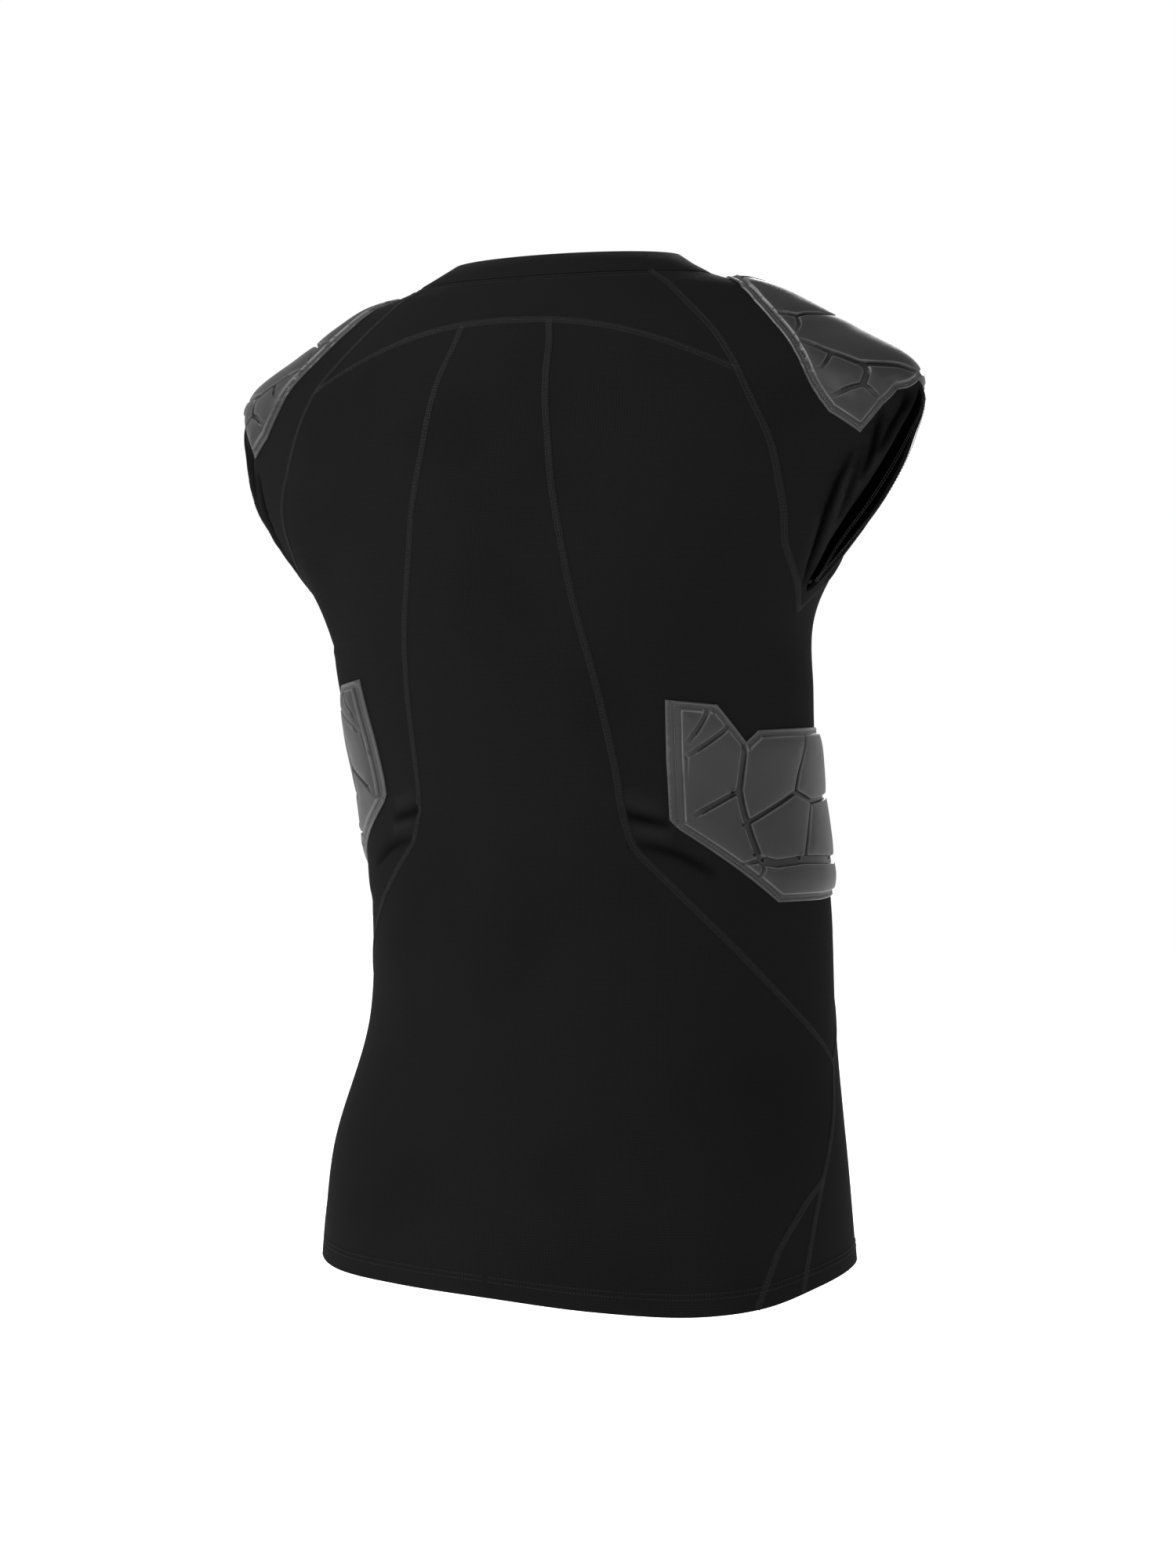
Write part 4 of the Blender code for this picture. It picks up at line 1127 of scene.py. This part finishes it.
def groove_lines(sides, grooves):
    """The lines along the grooves' floors, walls and brims."""
    lines = []
    wanted = []
    for half, line, _ in grooves:
        fine = even(line[:, :2], GROOVE_STEP)
        for distance in (0, half, half + GROOVE_WALL, half + GROOVE_WALL + BRIM):
            for way in (-1, 1):
                lines.append(aside(fine, way * distance))
                wanted.append(np.full(len(fine), distance - half))
    points = tube(np.concatenate(lines))
    _, inner, _, _ = pad_depths(points, sides)
    nearest = np.min([reach for reach, _ in groove_reach(points, grooves)], axis=0)
    far_enough = nearest > np.concatenate(wanted) - GROOVE_SLACK
    return runs(lines, (inner > GROOVE_CLEAR) & far_enough)


def hole_lines(holes):
    """Rings of places in and round the small holes."""
    lines = []
    for hole in holes:
        turn_size, shear, rise = cloth_metric(hole)
        for radius, count in HOLE_CIRCLES:
            angles = np.arange(count) * 2 * math.pi / count
            height = radius * np.sin(angles) / rise
            turn = (radius * np.cos(angles) - height * shear) / turn_size
            lines.append(hole + places_at(turn, height))
    return lines


def add_pad(node, edge, grooves, holes=()):
    """A moulded pad, with cells between its grooves, that stands for its solid in the frame."""
    sides = pad_sides(edge)
    grooves = pad_grooves(grooves)
    edge_fine = fine_loop(edge[:, :2], PAD_SPACING)
    inwards = way_round(edge)
    lines = hole_lines(holes) + side_lines(sides, inwards) + groove_lines(sides, grooves)
    places, faces, numbers = cut(edge_fine, lines=lines, spacing=PAD_SPACING, fine=PAD_SPACING)
    lift, crease_shade, rim = pad_relief(places, sides, grooves, holes)
    lift[numbers[0]] = PAD_GAP + FLANGE_LOW
    below, under, low_numbers = cut(edge_fine, spacing=3 * PAD_SPACING, fine=3 * PAD_SPACING)
    count = len(places)
    polygons = [tuple(face) for face in faces.tolist()]
    polygons += [(c + count, b + count, a + count) for a, b, c in under.tolist()]
    for (a, b), (d, c) in zip(pairs(numbers[0]), pairs(low_numbers[0])):
        polygons.append((a, b, c + count, d + count))
    points = np.concatenate([lifted(places, lift), lifted(below, PAD_GAP)])
    both = np.concatenate([places, below])
    # the painted crease shade and painted edge highlight lie on the film's top only
    crease_shade, rim = (np.concatenate([mark, np.zeros(len(below))]) for mark in (crease_shade, rim))
    points, polygons, both, crease_shade, rim = drop_loose(points, polygons, both, crease_shade, rim)
    marks = {"crease_shade": crease_shade, "rim": rim}
    piece = make_piece(node + "_film", points, polygons, PAD, "pad", both, marks)
    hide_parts(node)
    parts = [pad_stitches(line, inwards * STITCH_SHARE * flange, sides)
             for line, _, flange in sides]
    make_piece(node + "_stitches", *merged(parts), PAD_THREAD, "cloth")
    return piece


# Seams and stitches


SEAM_HALF = 2.3             # from a seam's middle to its outer rows of stitches
SEAM_START = 1.6            # how far above the hem a seam's raised strip starts
RUNG_PITCH = 1.2            # between the threads that cross a seam
STRIP_TOP = 0.34            # how high a seam's threads lie on its raised strip
MIDDLE_GAP = 0.35           # half the gap between its two columns of threads
ROW_PITCH = 2.4
ROW_STITCH = 1.9
HEM_STITCH = 0.72           # a plain stitch, as a share of its pitch
THREAD = 0.2                # half a thread's thickness
PAD_STITCH_PITCH = 1.7
STITCH_SLACK = 0.03         # how far over another side's flange a pad's stitches may run
STITCH_SUNK = 0.35          # how far below the flange's top they lie
PLAIN_PITCH = 2.2
HEM_PITCH = 2.3
NECK_LIFT = 0.12
NECK_ROWS = (-1.6, -6.0)    # from the neck seam to the rows of stitches beside it
HEM_MIDDLE = 1.5            # from the turned hem's top down to between its two rows
HEM_ROWS = (-1.6, 1.6)
CUFF_ROWS = (2.6, 0.6)      # from the turned cuff's top
RIBBON_STEP = 2.5
# A seam's raised strip, as (distance from the seam's middle, height over the cloth)
RIBBON_PROFILE = ((-2.9, -0.15), (-2.45, 0.28), (-1.2, 0.34), (0.0, 0.16), (1.2, 0.34),
                  (2.45, 0.28), (2.9, -0.15))


def sweep(paths, normals, radius, sides=4):
    """Thin tubes along many paths at once: arrays of threads by points by coordinates."""
    forwards = unit(np.gradient(paths, axis=1))
    across = unit(np.cross(forwards, normals))
    up = np.cross(across, forwards)
    angles = np.linspace(0, 2 * math.pi, sides, endpoint=False) + math.pi / sides
    rings = [paths + radius * (math.cos(a) * up + math.sin(a) * across) for a in angles]
    points = np.stack(rings, axis=2)
    threads, steps = paths.shape[:2]
    corner = np.arange(threads * steps * sides).reshape(threads, steps, sides)
    after = np.roll(corner, -1, axis=2)
    quads = np.stack([corner[:, :-1], after[:, :-1], after[:, 1:], corner[:, 1:]], axis=-1)
    return points.reshape(-1, 3), quads.reshape(-1, 4)


def merged(parts):
    """One set of points and polygons from several."""
    points = []
    polygons = []
    count = 0
    for some_points, some_polygons in parts:
        points.append(some_points)
        polygons.append(np.asarray(some_polygons) + count)
        count += len(some_points)
    return np.concatenate(points), np.concatenate(polygons)


def threads(places, lift, dip, rise, radius=THREAD):
    """Threads along rows of four places, with ends that dip and middles that rise by radii."""
    arch = lift + radius * np.array([-dip, rise, rise, -dip])
    return sweep(lifted(places, arch), outward(places), radius * MM)


def spread(starts, steps, shares):
    """Rows of places from each start, at shares of its step."""
    return starts[:, None] + steps[:, None] * shares[None, :, None]


def stitch_row(line, offset, pitch, length, lift, radius=THREAD, closed=False):
    """A row of short stitches that dip into the cloth, beside a line of places."""
    marks = even(line, pitch, closed)
    after = np.roll(marks, -1, axis=0) if closed else marks[1:]
    marks = marks if closed else marks[:-1]
    step = after - marks
    step[:, 0] = (step[:, 0] + 180) % 360 - 180
    places = spread(marks, step, np.linspace(0, 1, 4) * length / pitch)
    if offset:
        side = beside(marks, offset, closed) - marks
        places = places + side[:, None]
    return threads(places, lift, 1.2, 0.8, radius)


def pad_stitches(line, offset, sides):
    """The stitches in a pad's sewn channel along one side, where no other side's come nearer."""
    marks = aside(even(line, PAD_STITCH_PITCH), offset)
    if len(marks) < 3:
        marks = aside(even(line, PAD_STITCH_PITCH / 2), offset)
    places = spread(marks[:-1], np.diff(marks, axis=0), np.linspace(*PAD_STITCH_REACH, 4))
    _, _, share, _ = pad_depths(tube(places[:, 1]), sides)
    places = places[share > STITCH_SHARE - STITCH_SLACK]
    return threads(places, PAD_GAP + FLANGE - STITCH_SUNK, 1.4, 0.9)


def crossing(line, step, reach):
    """Rows of places that cross a line at even steps, at distances beside it."""
    marks = even(line, step)
    return spread(marks, beside(marks, 1.0) - marks, reach)


def rungs(line, start, end):
    """Threads side by side that cross one half of a seam."""
    return threads(crossing(line, RUNG_PITCH, np.linspace(start, end, 4)), STRIP_TOP, 1.0, 0.7)


def ribbon(line):
    """The raised strip where two panels overlap at a seam."""
    reach, lift = np.array(RIBBON_PROFILE).T
    places = crossing(line, RIBBON_STEP, reach)
    points = lifted(places, lift)
    corner = np.arange(points.shape[0] * points.shape[1]).reshape(points.shape[:2])
    quads = np.stack([corner[:-1, :-1], corner[:-1, 1:], corner[1:, 1:], corner[1:, :-1]], axis=-1)
    return points.reshape(-1, 3), quads.reshape(-1, 4), places.reshape(-1, 2)


def add_seam(name, line):
    """A flat-locked seam: a raised strip with two columns of threads beside its middle row."""
    points, polygons, places = ribbon(line)
    strip = make_piece("seam_" + name, points, polygons, KNIT, "cloth", places)
    parts = [rungs(line, -SEAM_HALF, -MIDDLE_GAP), rungs(line, MIDDLE_GAP, SEAM_HALF),
             stitch_row(line, 0.0, ROW_PITCH, ROW_STITCH, STRIP_TOP)]
    stitches = make_piece("stitches_" + name, *merged(parts), SEAM_THREAD, "cloth")
    return [strip, stitches]


def add_rows(name, line, offsets, pitch, lift):
    """Rows of plain stitches beside a closed line, as at a hem."""
    rows = [stitch_row(line, offset, pitch, HEM_STITCH * pitch, lift, 0.8 * THREAD, closed=True)
            for offset in offsets]
    return [make_piece("stitches_" + name, *merged(rows), SEAM_THREAD, "cloth")]


SIDE_SEAMS = ("back_princess", "front_princess", "side", "gusset_back", "gusset_front",
              "back_raglan", "front_raglan")
for part in ("back_raglan", "front_raglan"):
    SEAMS[part] = joined(*seam_lines(part + "_low", part + "_high"))


def build_shirt():
    neck_line = level_line(0, 359, NECK_SEAM)
    neck_rows = add_rows("neck", neck_line, NECK_ROWS, PLAIN_PITCH, NECK_LIFT)
    hem_line = level_line(0, 359, HEM_FOLD - HEM_MIDDLE)
    hem_rows = add_rows("hem", hem_line, HEM_ROWS, HEM_PITCH, HEM_PROUD)
    band = add_neckband()
    yoke = add_cloth("back_yoke", yoke_outline())
    back = add_cloth("centre_back", back_outline(), lines=hem_lines(-60, 60), doubled=hem_fold)
    front = add_cloth("front", front_outline(), lines=hem_lines(70, 290), doubled=hem_fold)
    yoke_trims = add_seam("yoke", yoke_line(-YOKE_CORNER[0], YOKE_CORNER[0]))
    back_trims = []
    front_trims = list(hem_rows)
    for side, sign in (("right", 1), ("left", -1)):
        trims = add_side(side, sign)
        back_trims += trims["back_princess"] + trims["side"]
        front_trims += trims["front_princess"]


def add_side(side, sign):
    """The panels, seams and pads of one side. Returns each seam's pieces by its name."""
    flip = np.array((sign, 1))
    trims = {name: add_seam(name + "_" + side, np.maximum(SEAMS[name], (-360, SEAM_START)) * flip)
             for name in SIDE_SEAMS}
    hole = armhole() * flip
    cuff = [-sign * (SLEEVE_FOLD - clear) for clear in CUFF_ROWS]
    cuff_rows = add_rows("cuff_" + side, hole, cuff, PLAIN_PITCH, HEM_PROUD)
    sleeve = add_cloth("sleeve_" + side, sleeve_outline() * flip, holes=[hole],
                       lines=sleeve_lines(hole), doubled=sleeve_fold(hole))
    panel = add_cloth("side_panel_" + side, side_outline() * flip)
    gusset = add_cloth("hem_gusset_" + side, gusset_outline() * flip,
                       lines=[line * flip for line in hem_lines(55, 80)], doubled=hem_fold)
    add_pads(side, sign)
    return trims


def add_pads(side, sign):
    """The shoulder pad and the rib pad of one side."""
    flip = np.array((sign, 1, 1))
    shift = np.array((*LEFT_RIB_SHIFT, 0)) if sign < 0 else np.zeros(3)
    shoulder = [(half, line * flip) for half, line in both_halves(SHOULDER_GROOVES)]
    add_pad("shoulder_pad_" + side, whole_edge(SHOULDER_EDGE) * flip, shoulder)
    middle = [(half, np.array(line, float)) for half, line in RIB_MIDDLE_GROOVES]
    ribs = [(half, (line + shift) * flip) for half, line in both_halves(RIB_GROOVES) + middle]
    holes = (np.array(RIB_HOLES) + shift[:2]) * flip[:2]
    add_pad("rib_pad_" + side, (whole_edge(RIB_EDGE) + shift) * flip, ribs, holes)


build_shirt()


# Floor, light and camera


FLOOR_DROP = 0.55           # from the hem down to the floor
CAMERA_TURN = 28.295        # degrees from straight behind, towards the wearer's right
CAMERA_DISTANCE = 2.0855    # metres from the wearer's axis
CAMERA_HEIGHT = -0.2357
LENS = 70.1
SENSOR = 36.0
SHIFT_X = -0.001
SHIFT_Y = -0.0586
FLOOR_SIZE = 9.0            # metres from its middle to its edges
FLOOR_GLOW = 0.8
# The studio round the shirt: white up to one height of the sky, and dimmer from the next
SKY = {"From Min": 0.34, "From Max": 0.5, "To Min": 1.0, "To Max": 0.6}
# The lights' names, places, aims, sizes and watts
LIGHTS = (
    ("key", (1.7, 1.9, 1.7), (0, 0, -0.15), (1.1, 1.1), 115),
    ("fill", (-1.1, 2.3, 1.3), (0, 0, -0.2), (0.7, 0.7), 22),
    ("front", (0.9, -2.6, 1.2), (0, 0, -0.25), (1.2, 1.2), 70),
    ("strip", (-2.3, 0.95, 0.75), (-0.15, 0, -0.2), (0.4, 0.9), 7),
)


def add_to_scene(name, data):
    thing = bpy.data.objects.new(name, data)
    bpy.context.scene.collection.objects.link(thing)
    return thing


def point_at(thing, place, aim):
    """Puts a light or camera at a place, turned to what it aims at."""
    thing.location = place
    thing.rotation_mode = "QUATERNION"
    thing.rotation_quaternion = (Vector(aim) - Vector(place)).to_track_quat("-Z", "Y")


def add_floor():
    mesh = bpy.data.meshes.new("floor")
    size = FLOOR_SIZE
    z = -SHOULDER_HEIGHT * MM - FLOOR_DROP
    corners = [(-size, -size, z), (size, -size, z), (size, size, z), (-size, size, z)]
    mesh.from_pydata(corners, [], [(0, 1, 2, 3)])
    material, tree, shader = shader_nodes("floor_paint")
    feed_all(tree, shader, {"Base Color": (0.92, 0.92, 0.92, 1), "Roughness": 0.9,
                            "Emission Color": (1, 1, 1, 1), "Emission Strength": FLOOR_GLOW})
    mesh.materials.append(material)
    floor = add_to_scene("floor", mesh)


def add_light(name, place, aim, size, power):
    data = bpy.data.lights.new(name, "AREA")
    data.shape = "RECTANGLE"
    data.size, data.size_y = size
    data.energy = power
    point_at(add_to_scene(name, data), place, aim)


def add_camera():
    data = bpy.data.cameras.new("camera")
    data.lens = LENS
    data.sensor_width = SENSOR
    data.shift_x = SHIFT_X
    data.shift_y = SHIFT_Y
    camera = add_to_scene("camera", data)
    turn = math.radians(CAMERA_TURN)
    place = Vector((-math.sin(turn), math.cos(turn), 0)) * CAMERA_DISTANCE
    place.z = CAMERA_HEIGHT
    point_at(camera, place, (0, 0, CAMERA_HEIGHT))
    bpy.context.scene.camera = camera


def add_world():
    """White round the horizon, which the camera sees, and dimmer above."""
    world = bpy.data.worlds.new("studio")
    bpy.context.scene.world = world
    world.use_nodes = True
    tree = world.node_tree
    way = tree.nodes.new("ShaderNodeSeparateXYZ")
    feed(tree, way.inputs[0], tree.nodes.new("ShaderNodeTexCoord").outputs["Generated"])
    fade = tree.nodes.new("ShaderNodeMapRange")
    fade.interpolation_type = "SMOOTHSTEP"
    feed_all(tree, fade, {**SKY, "Value": way.outputs[2]})
    feed_all(tree, tree.nodes["Background"], {"Color": (1, 1, 1, 1), "Strength": fade.outputs[0]})


bpy.context.scene.view_settings.view_transform = "Standard"
add_floor()
add_world()
for light in LIGHTS:
    add_light(*light)
add_camera()
